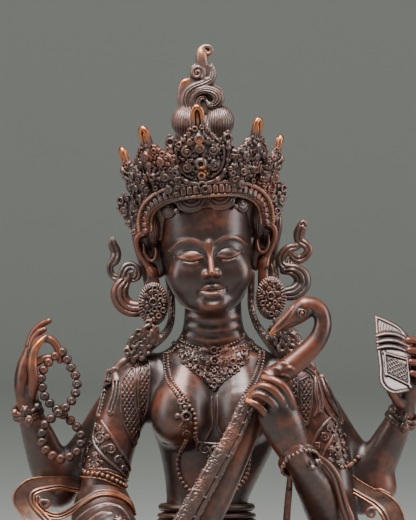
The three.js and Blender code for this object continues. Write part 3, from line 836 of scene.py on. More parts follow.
class Strand:
    """Geometry Nodes that set copies of a small form along paths, facing outwards."""

    def __init__(self) -> None:
        """Builds the node tree once."""
        self.tree = bpy.data.node_groups.new("strand", "GeometryNodeTree")
        for name, kind, way in (("Geometry", "Geometry", "INPUT"), ("Form", "Object", "INPUT"),
                ("Pitch", "Float", "INPUT"), ("Finish", "Material", "INPUT"),
                ("Geometry", "Geometry", "OUTPUT")):
            self.tree.interface.new_socket(name, in_out=way, socket_type="NodeSocket" + kind)
        nodes = Nodes(self.tree)
        given = nodes.add("NodeGroupInput").outputs
        curve = nodes.add("GeometryNodeMeshToCurve", {0: given["Geometry"]})
        spaced = nodes.add("GeometryNodeResampleCurve", {"Curve": curve.outputs[0], "Length": given["Pitch"]},
            mode="LENGTH")
        tangent = nodes.add("GeometryNodeInputTangent")
        out = nodes.add("GeometryNodeInputNamedAttribute", {"Name": "facing"}, data_type="FLOAT_VECTOR")
        along = nodes.add("FunctionNodeAlignRotationToVector", {"Vector": tangent.outputs[0]}, axis="X")
        turn = nodes.add("FunctionNodeAlignRotationToVector",
            {"Rotation": along.outputs[0], "Vector": out.outputs[0]}, axis="Z", pivot_axis="X")
        form = nodes.add("GeometryNodeObjectInfo", {"Object": given["Form"]})
        copies = nodes.add("GeometryNodeInstanceOnPoints", {"Points": spaced.outputs[0],
            "Instance": form.outputs["Geometry"], "Rotation": turn.outputs[0]})
        real = nodes.add("GeometryNodeRealizeInstances", {0: copies.outputs[0]})
        done = nodes.add("GeometryNodeSetMaterial", {"Geometry": real.outputs[0],
            "Material": given["Finish"]})
        nodes.add("NodeGroupOutput", {0: done.outputs[0]})

    def along(self, pieces: Pieces, name: str, form: Shell, courses: Sequence[Course], pitch: float,
            part: Part = Part.FIGURE, gain: float = 1.0) -> None:
        """Makes one piece of many copies.

        Args:
            pieces: where the piece is kept.
            name: its name.
            form: the small form, its x along the path and its z outwards, in millimetres.
            courses: the paths.
            pitch: the spacing in millimetres.
            part: the CAD node it stands for.
            gain: how strongly the relief shows.
        """
        points, edges, facing = [], [], []
        for c in courses:
            first, n = len(points), len(c.points)
            points += (c.points[:, :3] * MM).tolist()
            facing += np.broadcast_to(c.facing, (n, 3)).tolist()
            edges += [(first + i, first + i + 1) for i in range(n - 1)]
            if c.closed:
                edges.append((first + n - 1, first))
        path = bpy.data.meshes.new(name + "_path")
        path.from_pydata(points, edges, [])
        path.attributes.new("facing", "FLOAT_VECTOR", "POINT").data.foreach_set(
            "vector", np.array(facing, np.float32).ravel())
        seed = bpy.data.objects.new(name + "_form", mesh_of(name + "_form", form))
        carrier = bpy.data.objects.new(name + "_path", path)
        bpy.context.scene.collection.objects.link(carrier)
        modifier = carrier.modifiers.new("strand", "NODES")
        modifier.node_group = self.tree
        given = {item.name: item.identifier for item in self.tree.interface.items_tree
            if item.in_out == "INPUT"}
        modifier[given["Form"]] = seed
        modifier[given["Pitch"]] = pitch * MM
        modifier[given["Finish"]] = pieces.finishes[part]
        carrier.update_tag()
        graph = bpy.context.evaluated_depsgraph_get()
        graph.update()
        mesh = bpy.data.meshes.new_from_object(carrier.evaluated_get(graph))
        carrier.modifiers.clear()
        for spare in (carrier, seed):
            bpy.data.objects.remove(spare)
        if "facing" in mesh.attributes:
            mesh.attributes.remove(mesh.attributes["facing"])
        mesh.name = name
        mesh.shade_smooth()
        pieces.keep(name, mesh, Wear(4, gain), part)


@dataclass
class Ground:
    """The modelled surface, for laying ornament on it."""

    tree: BVHTree

    def drop(self, x: float, z: float, lift: float = 0.0) -> tuple[np.ndarray, np.ndarray]:
        """The point of the surface seen from the front at x, z, and the way out from it.

        Args:
            x: across, in millimetres.
            z: up.
            lift: how far above the surface.
        """
        hit, normal, _, _ = self.tree.ray_cast(Vector((x, FRONT, z)), Vector((0, 1, 0)))
        if hit is None:
            hit, normal, _, _ = self.tree.find_nearest(Vector((x, 0, z)))
        n = np.array(normal)
        return np.array(hit) + n * lift, n

    def lay(self, flat: Rows, lift: float = 0.0) -> Course:
        """A course over the surface.

        Args:
            flat: points of x, z as seen from the front.
            lift: how far above the surface.
        """
        hits = [self.drop(x, z, lift) for x, z in smooth_path(flat, len(flat) * 5)]
        points = np.array([h[0] for h in hits])
        for _ in range(2):
            points[1:-1] = 0.25 * points[:-2] + 0.5 * points[1:-1] + 0.25 * points[2:]
        return Course(points, np.array([h[1] for h in hits]))


@dataclass
class Torso:
    """The trunk, neck and four arms as one cast form.

    Attributes:
        middle: the chest's own centre line.
        voxel: the grid's step.
        trunk: ovals of the trunk as z, centre x, centre y, half-width, half-depth.
        bosom: centre and radius of each breast.
    """

    middle: float = 4.0
    voxel: float = 0.85
    trunk: Rows = (
        (46, 0, 9, 37, 26), (62, 0, 9, 37, 26), (80, -1, 10, 31, 21), (95, -1.4, 11, 24, 16.5),
        (104, -1.2, 11, 20.4, 14.2), (113, 0.4, 11, 22, 14.3), (122.5, 2.2, 10.5, 25, 15),
        (132.5, 3.4, 10, 28.4, 16), (146.5, 3.6, 10, 33, 16.5), (158, 4, 10, 36, 16),
        (168, 4, 10.5, 36.5, 14.5), (175, 4, 11, 33, 12.5), (181, 3.4, 11, 26.5, 11.5),
        (186, 2.8, 10, 20, 11.5), (191, 2.3, 9.2, 16.2, 12), (196, 2.1, 8.8, 14.8, 12.6),
        (203, 2, 8.4, 14.2, 12.8), (212, 2, 8.4, 14.2, 12.8))
    bosom: Rows = ((-14.2, -3.5, 148.6, 14.6), (17.4, -3.5, 149.4, 14.6))

    def arms(self, clay: Clay) -> None:
        """Adds the four arms, from the shoulders to the wrists."""
        front = [(-31, 10.5, 170, 11), (-38, 8, 163, 12.2), (-45.5, 6, 145, 11.9), (-51, 4, 125, 11.6),
                 (-53.5, 3, 110, 11.2), (-56, 2, 95, 10.4)]
        rear = [(-30, 16, 166, 10), (-45, 17, 156, 9.6), (-60, 16, 134, 9.2), (-74, 14, 117, 9.6),
                (-76.5, 13.5, 113.5, 9.8)]
        clay.limb(front, 6).limb(mirror(front, self.middle), 6)
        clay.limb(rear, 5).limb(mirror(rear, self.middle), 5)
        clay.limb([(-56, 2, 94, 10.4), (-53, -10, 91, 10.6), (-46, -28, 87.5, 8.8), (-37, -41, 85, 6.4)], 4)
        clay.limb([(64, 2, 93, 10.6), (60, -7, 101, 11.2), (54, -18.5, 113, 10), (47.5, -28, 123.5, 7.8),
                   (43.6, -32, 129.5, 7.0), (41.5, -34, 134, 7.2)], 4)
        clay.limb([(-76, 13.5, 113.5, 9.8), (-80, 12.5, 123, 9.9), (-84.5, 10.5, 136, 8.6),
                   (-88.5, 8, 147, 6.7), (-90.6, 6.5, 156, 5.7), (-91, 6, 161, 5.4)], 4)
        clay.limb([(76.5, 13.5, 109, 9.8), (82.5, 12.5, 121, 9.8), (89.5, 10.5, 135, 8.6),
                   (94.6, 8, 146, 6.8), (98, 6.5, 156, 5.9), (99, 6, 161, 5.6)], 4)

    def form(self) -> Shell:
        """The smooth skin of trunk and arms."""
        clay = Clay((-104, -62, 44), (114, 46, 214), self.voxel)
        clay.loft(self.trunk, 0)
        for x, y, z, r in self.bosom:
            clay.ball((x, y + 1.5, z), (r, r * 0.94, r), blend=4.5)
            clay.limb([(x * 0.8 + 1.4, 3, z + 25, 8), (x, -0.5, z + 10, 12)], 7)
        self.arms(clay)
        for s in (-1, 1):
            x = self.middle - 1
            clay.line([(x + s * 24, 178.5, 1.2), (x + s * 12, 179, 1.6), (x + s * 4, 176.5, 1.3)], 0.9, 4)
        for z in (198.6, 193.6, 188.6):
            clay.line([(-10, z + 0.8, 0.9), (-5, z - 0.2, 1.2), (2, z - 1.0, 1.2), (9, z - 0.2, 1.2),
                (14, z + 0.8, 0.9)], 0.86, 2.6)
        clay.trim(45.6)
        return clay.surface()


@dataclass
class Head:
    """The head, in its own frame: x to the figure's left, z up from a pivot in the neck.

    Attributes:
        pivot: where the head's frame stands in the row frame.
        roll: its lean to the figure's right, in degrees.
        yaw: its turn to the figure's left, in degrees.
        chin: how high the chin is.
        height: from chin to hairline; the features sit at thirds of it.
        width: across the cheeks; the eyes are fifths of it.
    """

    pivot: tuple[float, float, float] = (1.9, 8.0, 190.0)
    roll: float = 4.3
    yaw: float = 4.0
    chin: float = 12.0
    height: float = 51.0
    width: float = 43.0

    def frame(self) -> np.ndarray:
        """The head's frame as a 4x4 matrix."""
        yaw = Matrix.Rotation(math.radians(self.yaw), 4, "Z")
        roll = Matrix.Rotation(math.radians(-self.roll), 4, "Y")
        return np.array(Matrix.Translation(self.pivot) @ (yaw @ roll))

    def place(self, points: np.ndarray) -> np.ndarray:
        """Points of the head's frame in the row frame."""
        m = self.frame()
        return points @ m[:3, :3].T + m[:3, 3]

    def form(self) -> Shell:
        """The face, skull and ears."""
        clay = Clay((-40, -33, -2), (40, 36, 96), 0.44)
        third = self.height / 3
        brow, nose = self.chin + 2 * third, self.chin + third
        eye, mouth = brow - 5.6, nose - third * 0.40
        half = self.width / 2
        clay.loft([(self.chin - 2.4, 0, -12, 5.5, 4.6), (self.chin + 0.6, 0, -10.4, 10.4, 9),
            (self.chin + 5, 0, -7.4, 15.8, 13.6), (nose - 5, 0, -3.8, 19.4, 17.8),
            (nose + 2, 0, -1, half - 0.6, 20.9), (eye - 2, 0, 0, half + 0.7, 22.2),
            (brow, 0, 0.6, half + 1.4, 23.6), (brow + 9, 0, 1.4, half + 2.0, 24.6),
            (brow + 20, 0, 2.6, half + 2.6, 24.4), (brow + 32, 0, 3.6, half - 2, 21),
            (brow + 42, 0, 4, half - 9, 14)], 0, power=2.15)
        clay.ball((0, 8, 44), (23, 22, 34), blend=3)
        clay.ball((0, -18.8, self.chin + 3.6), (6.8, 5.2, 4.8), blend=5)
        for s in (-1, 1):
            clay.ball((s * 11.5, -14.5, nose + 1.5), (9, 7.4, 9.5), blend=5)
            clay.ball((s * 9.4, -27.6, eye + 0.6), (7.6, 4.6, 3.4), turn=(0, s * 5, s * 16),
                blend=3.2, mode=Mode.CUT)
            clay.ball((s * 9.2, -18.2, eye - 0.8), (6.8, 4.0, 3.8), turn=(0, 0, s * 14), blend=1.4)
            slit = [(s * 3.6, eye - 1.9, 0.22), (s * 6.2, eye - 2.5, 0.4), (s * 9.6, eye - 2.9, 0.45),
                    (s * 13.0, eye - 2.1, 0.4), (s * 16.4, eye - 0.4, 0.2)]
            clay.line([(x, z + 0.75, 0.42) for x, z, _ in slit], 0.12, 0.9)
            clay.line([(x, z - 0.95, 0.34) for x, z, _ in slit[1:-1]], 0.12, 0.9)
            clay.line(slit, 0.05, 0.35, Mode.CUT)
            clay.line([(s * 3.8, eye + 0.6, 0.2), (s * 6.5, eye + 2.2, 0.36), (s * 10, eye + 2.7, 0.36),
                       (s * 14.2, eye + 1.6, 0.32), (s * 17.2, eye + 0.1, 0.2)], 0.05, 0.6, Mode.CUT)
            clay.line([(s * 2.0, brow - 2.6, 0.5), (s * 4.6, brow + 0.4, 0.7), (s * 9.5, brow + 2.3, 0.75),
                       (s * 14.8, brow + 1.3, 0.7), (s * 19.4, brow - 2.2, 0.3)], 0.25, 1.6)
            clay.ball((s * 2.5, -22.8, nose + 1.6), (1.4, 2.1, 1.3), blend=2.8)
            clay.ball((s * 1.7, -25.2, nose - 0.5), (0.85, 1.1, 0.6), blend=0.6, mode=Mode.CUT)
            clay.ball((s * 7.0, -21.6, mouth + 0.4), (0.9, 0.9, 0.8), blend=1.4, mode=Mode.CUT)
            self.ear(clay, s)
        clay.limb([(0, -22.4, brow - 0.6, 1.9), (0, -23.9, eye - 0.6, 1.5), (0, -26.4, nose + 5.4, 1.65),
                   (0, -27.7, nose + 2.3, 1.95)], 2.6)
        clay.limb([(0, -24.0, nose - 1.2, 0.55), (0, -23.8, mouth + 2.6, 0.8)], 1.4, mode=Mode.CUT)
        clay.line([(-6.4, mouth + 0.7, 0.5), (-3.4, mouth + 1.5, 1.1), (-1.2, mouth + 1.9, 1.25),
            (0, mouth + 1.5, 1.15), (1.2, mouth + 1.9, 1.25), (3.4, mouth + 1.5, 1.1), (6.4, mouth + 0.7, 0.5)],
            0.35, 1.0)
        clay.line([(-5.0, mouth - 0.5, 0.7), (-2.4, mouth - 1.6, 1.4), (0, mouth - 1.9, 1.6),
                   (2.4, mouth - 1.6, 1.4), (5.0, mouth - 0.5, 0.7)], 0.3, 1.0)
        clay.line([(-7.0, mouth + 0.9, 0.25), (-3.2, mouth + 0.1, 0.32), (-1.2, mouth + 0.25, 0.32),
            (0, mouth - 0.1, 0.34), (1.2, mouth + 0.25, 0.32), (3.2, mouth + 0.1, 0.32),
            (7.0, mouth + 0.9, 0.25)], 0.1, 0.35, Mode.CUT)
        clay.ball((0, -24.6, mouth - 4.7), (3.6, 1.1, 1.0), blend=2.6, mode=Mode.CUT)
        return clay.surface(self.place)

    def ear(self, clay: Clay, s: int) -> None:
        """One long-lobed ear, s being -1 or 1."""
        clay.ball((s * 29.4, 1.6, 45.6), (6.0, 3.0, 8.4), turn=(0, s * 14, 0), blend=1.2)
        clay.ball((s * 24.5, 4, 40), (4, 4, 10), blend=2)
        clay.ball((s * 29.8, -2.6, 46.8), (2.9, 3.0, 4.6), turn=(0, s * 16, 0), blend=1.0, mode=Mode.CUT)
        rim = [(s * 25.0, -1.8, 47.6, 0.9), (s * 25.6, -2.4, 50.8, 1.3), (s * 28.0, -2.8, 53.0, 1.5),
            (s * 31.6, -2.8, 53.4, 1.6), (s * 34.4, -2.4, 50.8, 1.6), (s * 34.6, -1.8, 46.6, 1.5),
            (s * 32.6, -1.6, 41.6, 1.4), (s * 30.4, -1.6, 37.4, 1.5), (s * 28.6, -1.8, 33.0, 2.2)]
        clay.limb([(x, y, z, 1.06 * r) for x, y, z, r in rim], 0.5, count=48)
        clay.limb([(s * 28.0, -1.0, 34, 2.5), (s * 27.4, -1.2, 27, 2.8), (s * 27.0, -1.2, 19, 2.9)],
            0.6, flat=0.85)
        clay.limb([(s * 31.4, -2.2, 47.6, 0.7), (s * 31.0, -2.4, 43.4, 0.8), (s * 28.8, -2.6, 39.6, 0.9),
            (s * 26.4, -2.6, 39.8, 1.0), (s * 25.2, -2.4, 43.0, 1.1), (s * 25.4, -2.2, 45.6, 0.8)], 0.4)
        clay.limb([(s * 25.6, -3.6, 37.0, 0.4), (s * 27.4, -4.0, 35.2, 0.5), (s * 29.4, -3.4, 36.6, 0.4)],
            0.3, mode=Mode.CUT)
        for x in (25.9, 28.2):
            clay.limb([(s * (x + 0.6), -3.6, 31, 0.25), (s * x, -3.8, 20, 0.34)], 0.4, mode=Mode.CUT)


@dataclass
class Legs:
    """The crossed legs under a wrapped skirt, plain because the photograph stops above them.

    Attributes:
        knee: how far each knee is from the middle.
    """

    knee: float = 66.0

    def form(self) -> Shell:
        """Thighs, shins, feet and the skirt's folds."""
        clay = Clay((-82, -66, 43), (84, 46, 112), 0.85)
        clay.loft([(46, 0, 10, 40, 30), (58, 0, 9, 40, 29), (74, 0, 9, 36, 25), (86, -1, 10, 29, 20),
                   (96, -1.4, 11, 24.5, 17.3), (101, -1.3, 11, 22.4, 16.2)], 0)
        for s in (-1, 1):
            clay.limb([(s * 14, 8, 64, 19), (s * 40, -5, 63, 17), (s * self.knee * 0.93, -17, 60, 13.5)], 6)
        k = self.knee
        clay.limb([(-k, -20, 59, 12), (-44, -38, 58, 11.5), (-14, -46, 57, 9.5), (8, -42, 60.5, 7.2)], 5)
        clay.limb([(k, -20, 57, 12), (40, -42, 55, 11), (8, -50, 52.5, 8.2), (-14, -50, 51.5, 6.2)], 4)
        clay.limb([(6, -42, 60.5, 6.2), (20, -37, 64, 6.6), (33, -29, 68, 5.2), (39, -25, 70, 3.4)],
            1.5, flat=0.62, normal=(0.2, 0.5, 1))
        clay.limb([(-12, -50, 51.5, 5.4), (-24, -50, 51, 5.8), (-36, -44.5, 51, 4)],
            1.5, flat=0.7, normal=(0, 0.3, 1))
        for i in range(9):
            a = math.radians(-155 + i * 16)
            fold = [(math.cos(a) * 25, 11 + math.sin(a) * 18, 96, 0.8),
                    (math.cos(a) * 34, 10 + math.sin(a) * 26, 80, 1.1),
                    (math.cos(a) * 44, 8 + math.sin(a) * 36, 66, 1.0)]
            clay.limb(fold, 1.6)
        for s in (-1, 1):
            for i in range(6):
                t = 0.2 + i * 0.14
                x, y = s * (18 + 44 * t), -14 - 22 * t
                clay.limb([(x * 0.9, y + 22, 80 - 6 * t, 0.7), (x, y + 6, 75.5 - 5 * t, 1.0),
                           (x * 1.04, y - 8, 66 - 4 * t, 0.8)], 1.4)
        clay.trim(45.5)
        return clay.surface()


@dataclass
class LotusBase:
    """An oval base with two rows of petals, a beaded rim and a plain foot.

    Attributes:
        width: along x, in millimetres.
        depth: along y.
        height: of the whole base.
        foot: the height of its plain foot.
        petals: how many to a row.
        petal_width: the width that one petal is modelled at.
        sides: how many points to an oval of the body.
    """

    width: float = 168.0
    depth: float = 120.0
    height: float = 45.0
    foot: float = 5.0
    petals: int = 28
    petal_width: float = 13.2
    sides: int = 120

    def oval(self, inset: float, z: float, count: int = 180) -> tuple[np.ndarray, np.ndarray]:
        """An oval at a height, with its outward directions."""
        a = np.linspace(0, 2 * math.pi, count, endpoint=False)
        p, q = self.width / 2 - inset, self.depth / 2 - inset
        points = np.stack([p * np.cos(a), q * np.sin(a), np.full(count, z)], 1)
        return points, unit(np.stack([np.cos(a) / p, np.sin(a) / q, np.zeros(count)], 1))

    def core(self) -> Shell:
        """The oval body behind the petals."""
        h, f, low = self.height, self.foot, 0.02
        rings = [(0.6, low), (0.0, 0.8), (0.0, f - 1.2), (0.8, f - 0.2), (4, f + 0.6), (9.5, f + 1.4),
            (14, f + 9), (17.5, h / 2 - 2), (16.2, h / 2), (17.5, h / 2 + 2), (14, h - 12), (8.8, h - 5),
            (8.4, h - 4), (6.6, h - 3.2), (6.6, h - 1.2), (7.6, h)]
        ovals = [self.oval(inset, z, self.sides)[0] for inset, z in rings]
        return outward(Shell(np.vstack(ovals + [[[0, 0, low], [0, 0, h]]]), skin(len(rings), self.sides)))

    def petal(self) -> Shell:
        """One plump double petal: x across, z outwards, y towards its tip."""
        clay = Clay((-8.5, -10, -4), (8.5, 12, 6.5), 0.42)
        clay.ball((0, 0, -0.6), (7.0, 9.4, 3.0), blend=0)
        clay.limb([(0, 4, 0.2, 3.4), (0, 8, 1.0, 2.2), (0, 10.2, 2.2, 0.7)], 2.5, flat=0.6, normal=(0, 0, 1))
        for s in (-1, 1):
            clay.ball((s * 2.6, -1.2, 1.7), (2.6, 5.6, 1.7), turn=(0, 0, s * 7), blend=0.7)
        clay.limb([(0, -6.4, 1.6, 0.5), (-5.0, -3, 1.2, 0.45), (-5.2, 2.4, 1.1, 0.5), (0, 8.0, 2.6, 0.55),
                   (5.2, 2.4, 1.1, 0.5), (5.0, -3, 1.2, 0.45)], 0.5, closed=True)
        clay.trim(-2.4)
        return thinned(clay.surface(), 0.72)

    def build(self, pieces: Pieces, strand: Strand) -> None:
        """Makes the base's pieces."""
        pieces.add("base_core", self.core(), Wear(3), Part.BASE)
        petal = self.petal()
        half = self.height / 2
        for name, inset, z, tip, lean in (("petals_low", 8.0, (self.foot + half) / 2, -1, 0.62),
                ("petals_high", 9.0, (self.height - 4 + half) / 2, 1, -0.55)):
            points, out = self.oval(inset, z)
            pitch = np.linalg.norm(np.roll(points, -1, 0) - points, axis=1).sum() / self.petals
            size = pitch / self.petal_width
            form = outward(Shell(petal.points * (size, tip * size, size), petal.faces))
            course = Course(points, unit(out + (0, 0, lean)), closed=True)
            strand.along(pieces, name, form, [course], pitch, Part.BASE)
        bead = lathe([(0, -1.2), (1.0, -0.7), (1.35, 0.1), (0.9, 1.0), (0, 1.3)], 9)
        points, out = self.oval(6.8, self.height - 2.3)
        strand.along(pieces, "base_beads", bead, [Course(points, out, closed=True)], 2.75, Part.BASE)


@dataclass(frozen=True)
class Lamp:
    """A soft rectangular light: places and sizes in metres, power in watts."""

    name: str
    place: tuple[float, ...]
    aim: tuple[float, ...]
    size: tuple[float, float]
    power: float
    colour: tuple[float, ...] = (1, 1, 1)


@dataclass
class Studio:
    """Floor, backdrop, soft lights and the camera at the photograph's angle.

    Attributes:
        distance: of the camera, in millimetres.
        lens: its focal length, in millimetres.
        sensor: its sensor's width, in millimetres.
        centre: x and z of the point it looks at, in millimetres.
        rise: how far it looks down, in degrees.
        reach: how far the floor goes to the front and sides, and the backdrop up, in metres.
        join: where the floor's grey ends, in metres behind the figure.
        turn: where the backdrop starts to curve up, in metres behind the figure.
        curve: the radius of that curve, in metres.
        floor: the floor's colour.
        backdrop: the backdrop's colour.
        dull: the roughness of both.
        sky: the world's colour.
        glow: its strength.
        lamps: the lights.
    """

    distance: float = 3000.0
    lens: float = 415.4
    sensor: float = 36.0
    centre: tuple[float, float] = (-0.5, 227.5)
    rise: float = 0.5
    reach: float = 6.0
    join: float = 1.5
    turn: float = 5.5
    curve: float = 1.0
    floor: tuple[float, ...] = (0.30, 0.31, 0.30, 1)
    backdrop: tuple[float, ...] = (0.88, 0.915, 0.86, 1)
    dull: float = 0.8
    sky: tuple[float, ...] = (0.50, 0.51, 0.50, 1)
    glow: float = 0.17
    lamps: tuple[Lamp, ...] = (
        Lamp("overhead", (-0.12, -0.38, 1.15), (0, 0, 0.22), (0.9, 0.55), 45, (1, 0.985, 0.975)),
        Lamp("left", (-1.0, -0.35, 0.60), (0, 0, 0.22), (0.45, 0.9), 6.5, (0.97, 0.98, 1)),
        Lamp("right", (1.0, -0.2, 0.5), (0, 0, 0.22), (0.45, 0.9), 10, (0.97, 0.98, 1)),
        Lamp("behind", (0, 2.2, 3.0), (0, 6.4, 0.6), (1.6, 1.6), 11))

    def put(self, data: bpy.types.ID, place: Sequence[float], aim: Sequence[float]) -> bpy.types.Object:
        """An object at one place that looks at another, both in metres."""
        obj = bpy.data.objects.new(data.name, data)
        obj.location = place
        obj.rotation_euler = (Vector(aim) - Vector(place)).to_track_quat("-Z", "Y").to_euler()
        bpy.context.scene.collection.objects.link(obj)
        return obj

    def ground(self) -> None:
        """Lays the floor and the backdrop that curves up from it."""
        mesh = bpy.data.meshes.new("floor")
        bend = [(-self.reach, 0.0), (self.join, 0.0), (self.turn, 0.0)]
        bend += [(self.turn + self.curve * math.sin(a), self.curve * (1 - math.cos(a)))
            for a in np.linspace(0.1, math.pi / 2, 14)]
        bend.append((self.turn + self.curve, self.reach))
        mesh.from_pydata([(x, y, z) for y, z in bend for x in (-self.reach, self.reach)], [],
            [(2 * i, 2 * i + 1, 2 * i + 3, 2 * i + 2) for i in range(len(bend) - 1)])
        mesh.shade_smooth()
        for name, colour in (("floor", self.floor), ("backdrop", self.backdrop)):
            mat = bpy.data.materials.new(name)
            mat.use_nodes = True
            Nodes(mat.node_tree).feed(mat.node_tree.nodes[SHADER], {
                "Base Color": colour, "Roughness": self.dull})
            mesh.materials.append(mat)
        mesh.polygons.foreach_set("material_index", [min(i, 1) for i in range(len(mesh.polygons))])
        floor = bpy.data.objects.new("floor", mesh)
        bpy.context.scene.collection.objects.link(floor)

    def build(self) -> None:
        """Sets up the floor, the world, the lights and the camera."""
        scene = bpy.context.scene
        self.ground()
        world = bpy.data.worlds.new("studio")
        world.use_nodes = True
        Nodes(world.node_tree).feed(world.node_tree.nodes["Background"], {
            "Color": self.sky, "Strength": self.glow})
        scene.world = world
        for lamp in self.lamps:
            light = bpy.data.lights.new(lamp.name, "AREA")
            light.shape = "RECTANGLE"
            light.size, light.size_y = lamp.size
            light.energy, light.color = lamp.power, lamp.colour
            self.put(light, lamp.place, lamp.aim)
        camera = bpy.data.cameras.new("camera")
        camera.lens, camera.sensor_width = self.lens, self.sensor
        a = math.radians(self.rise)
        aim = Vector((self.centre[0], 0, self.centre[1])) * MM
        away = Vector((0, -math.cos(a), math.sin(a))) * self.distance * MM
        scene.camera = self.put(camera, aim + away, aim)


def within(outline: Rows, x: float, z: float) -> bool:
    """Whether x, z lies inside an outline."""
    p = np.asarray(outline, float)
    q = np.roll(p, -1, 0)
    crossed = (p[:, 1] > z) != (q[:, 1] > z)
    slope = (q[:, 0] - p[:, 0]) * (z - p[:, 1]) / (q[:, 1] - p[:, 1] + 1e-9)
    return bool(np.sum(crossed & (x < slope + p[:, 0])) % 2)


@dataclass
class Chasing:
    """Raised ornament on a surface, or on the plane y = level where there is none, joined into one form."""

    clay: Clay
    ground: Ground | None = None
    level: float = 0.0

    def spot(self, x: float, z: float, lift: float = 0.0) -> tuple[np.ndarray, np.ndarray]:
        """The point lift millimetres above the surface at x, z, and the way out."""
        if self.ground is None:
            return np.array([x, self.level - lift, z]), np.array([0.0, -1.0, 0.0])
        return self.ground.drop(x, z, lift)

    def boss(self, x: float, z: float, radius: float, lift: float = 0.0, tall: float = 0.8) -> "Chasing":
        """A round boss at x, z."""
        self.clay.ball(self.spot(x, z, lift)[0], (radius, radius * tall, radius), blend=0.25)
        return self

    def ring(self, x: float, z: float, radius: float, thick: float, lift: float = 0.3) -> "Chasing":
        """A ring that lies on the surface."""
        p, n = self.spot(x, z, lift)
        self.clay.ring(p, n, radius, thick, 0.25)
        return self

    def strand(self, flat: Rows, lift: float = 0.2, count: int = 0) -> "Chasing":
        """A strand through x, z and radius."""
        path = smooth_path(flat, count or len(flat) * 4)
        self.clay.limb([(*self.spot(x, z, lift)[0], r) for x, z, r in path], 0.25, count=len(path))
        return self

    def scroll(self, x: float, z: float, radius: float, turns: float, start: float, thick: float = 0.8,
               lift: float = 0.2) -> "Chasing":
        """A spiral scroll with a boss at its eye."""
        rows = spiral((x, 0, z), radius, turns, start, thick, 0.3, 14)
        self.strand(rows[:, [0, 2, 3]], lift, 14)
        return self.boss(x, z, thick * 1.1, lift + 0.1)

    def jewel(self, x: float, z: float, radius: float, lift: float = 0.8) -> "Chasing":
        """A ringed jewel with a hollow in its middle."""
        self.boss(x, z, radius * 0.92, lift - 0.72 * radius, 0.9)
        p, _ = self.spot(x, z, lift + radius * 0.12)
        self.clay.ball(p, radius * 0.5, blend=0.1, mode=Mode.CUT)
        self.ring(x, z, radius * 0.72, max(radius * 0.27, 0.4), lift + 0.05 * radius)
        return self.boss(x, z, radius * 0.24, lift - 0.12 * radius, 1.0) if radius > 1.7 else self

    def rosette(self, x: float, z: float, radius: float, petals: int = 8) -> "Chasing":
        """A flower: a ring of round petals about a ringed boss."""
        p, n = self.spot(x, z, 0.3)
        side = np.cross(n, (0, 0, 1))
        side /= np.linalg.norm(side)
        up = np.cross(side, n)
        for i in range(petals):
            a = 2 * math.pi * i / petals
            q = p + radius * 0.72 * (math.cos(a) * side + math.sin(a) * up)
            self.clay.ball(q, radius * 0.30, blend=0.3)
        self.clay.ball(p - n * 0.4, radius * 0.6, blend=0.4)
        self.clay.ring(p + n * radius * 0.2, n, radius * 0.38, radius * 0.11, 0.2)
        self.clay.ball(p + n * radius * 0.3, radius * 0.24, blend=0.2)
        return self

    def fill(self, outline: Rows, radii: Sequence[float], seed: int, lift: float = 0.3, taken: Rows = (),
             tries: int = 420) -> "Chasing":
        """Packs an outline with scrolls, rings and berries, the largest first.

        Args:
            outline: corners as x, z.
            radii: the sizes to place, from the largest down.
            seed: for the order of draws.
            lift: how far above the surface.
            taken: circles of x, z and radius to keep clear of.
            tries: draws for each size.
        """
        crowding, jewels, righthanded = 0.78, 0.26, 0.67
        edge = np.array(outline, float)
        chance = np.random.default_rng(seed)
        placed = [tuple(t) for t in taken]
        for radius in radii:
            for x, z in chance.uniform(edge.min(0), edge.max(0), (tries, 2)):
                near = any((x - a) ** 2 + (z - b) ** 2 < crowding * (radius + r) ** 2 for a, b, r in placed)
                if near or not within(edge, x, z):
                    continue
                placed.append((x, z, radius))
                kind, turn, rise = chance.uniform(0, 1, 3)
                thick, rise = max(0.25 * radius, 0.36), lift + 0.7 * rise
                if radius < 0.8:
                    self.boss(x, z, radius * 0.95, rise)
                elif kind < jewels:
                    self.jewel(x, z, radius, rise)
                else:
                    turns = 1.15 if kind < righthanded else -1.15
                    self.scroll(x, z, radius - thick, turns, 360 * turn, thick, rise + 0.2)
        return self

    def flames(self, outline: Rows, pitch: float, lean: float, seed: int, lift: float = 0.4) -> "Chasing":
        """Fills an outline with overlapping curled leaflets.

        Args:
            outline: corners as x, z.
            pitch: the spacing in millimetres.
            lean: the way the leaflets point, in degrees from upright.
            seed: for the order of draws.
            lift: how far above the surface.
        """
        leaflet = ((-0.8, 0.0, 0.34), (0.0, 0.35, 0.5), (0.8, 0.2, 0.44), (1.0, -0.35, 0.34),
            (0.5, -0.45, 0.24))
        edge = np.array(outline, float)
        low, high = edge.min(0), edge.max(0)
        chance = np.random.default_rng(seed)
        for k, z in enumerate(np.arange(low[1], high[1], pitch * 0.8)):
            for x in np.arange(low[0] + (k % 2) * pitch / 2, high[0], pitch):
                a = math.radians(lean + chance.uniform(-35, 35))
                hook = chance.choice((-1, 1))
                size = pitch * chance.uniform(0.5, 0.7)
                rise = lift + chance.uniform(0, 0.8)
                if within(edge, x, z):
                    up = np.array([math.sin(a), math.cos(a)])
                    side = np.array([math.cos(a), -math.sin(a)]) * hook
                    self.strand([(*(np.array([x, z]) + size * (i * up + j * side)), size * r)
                        for i, j, r in leaflet], rise, 12)
        return self


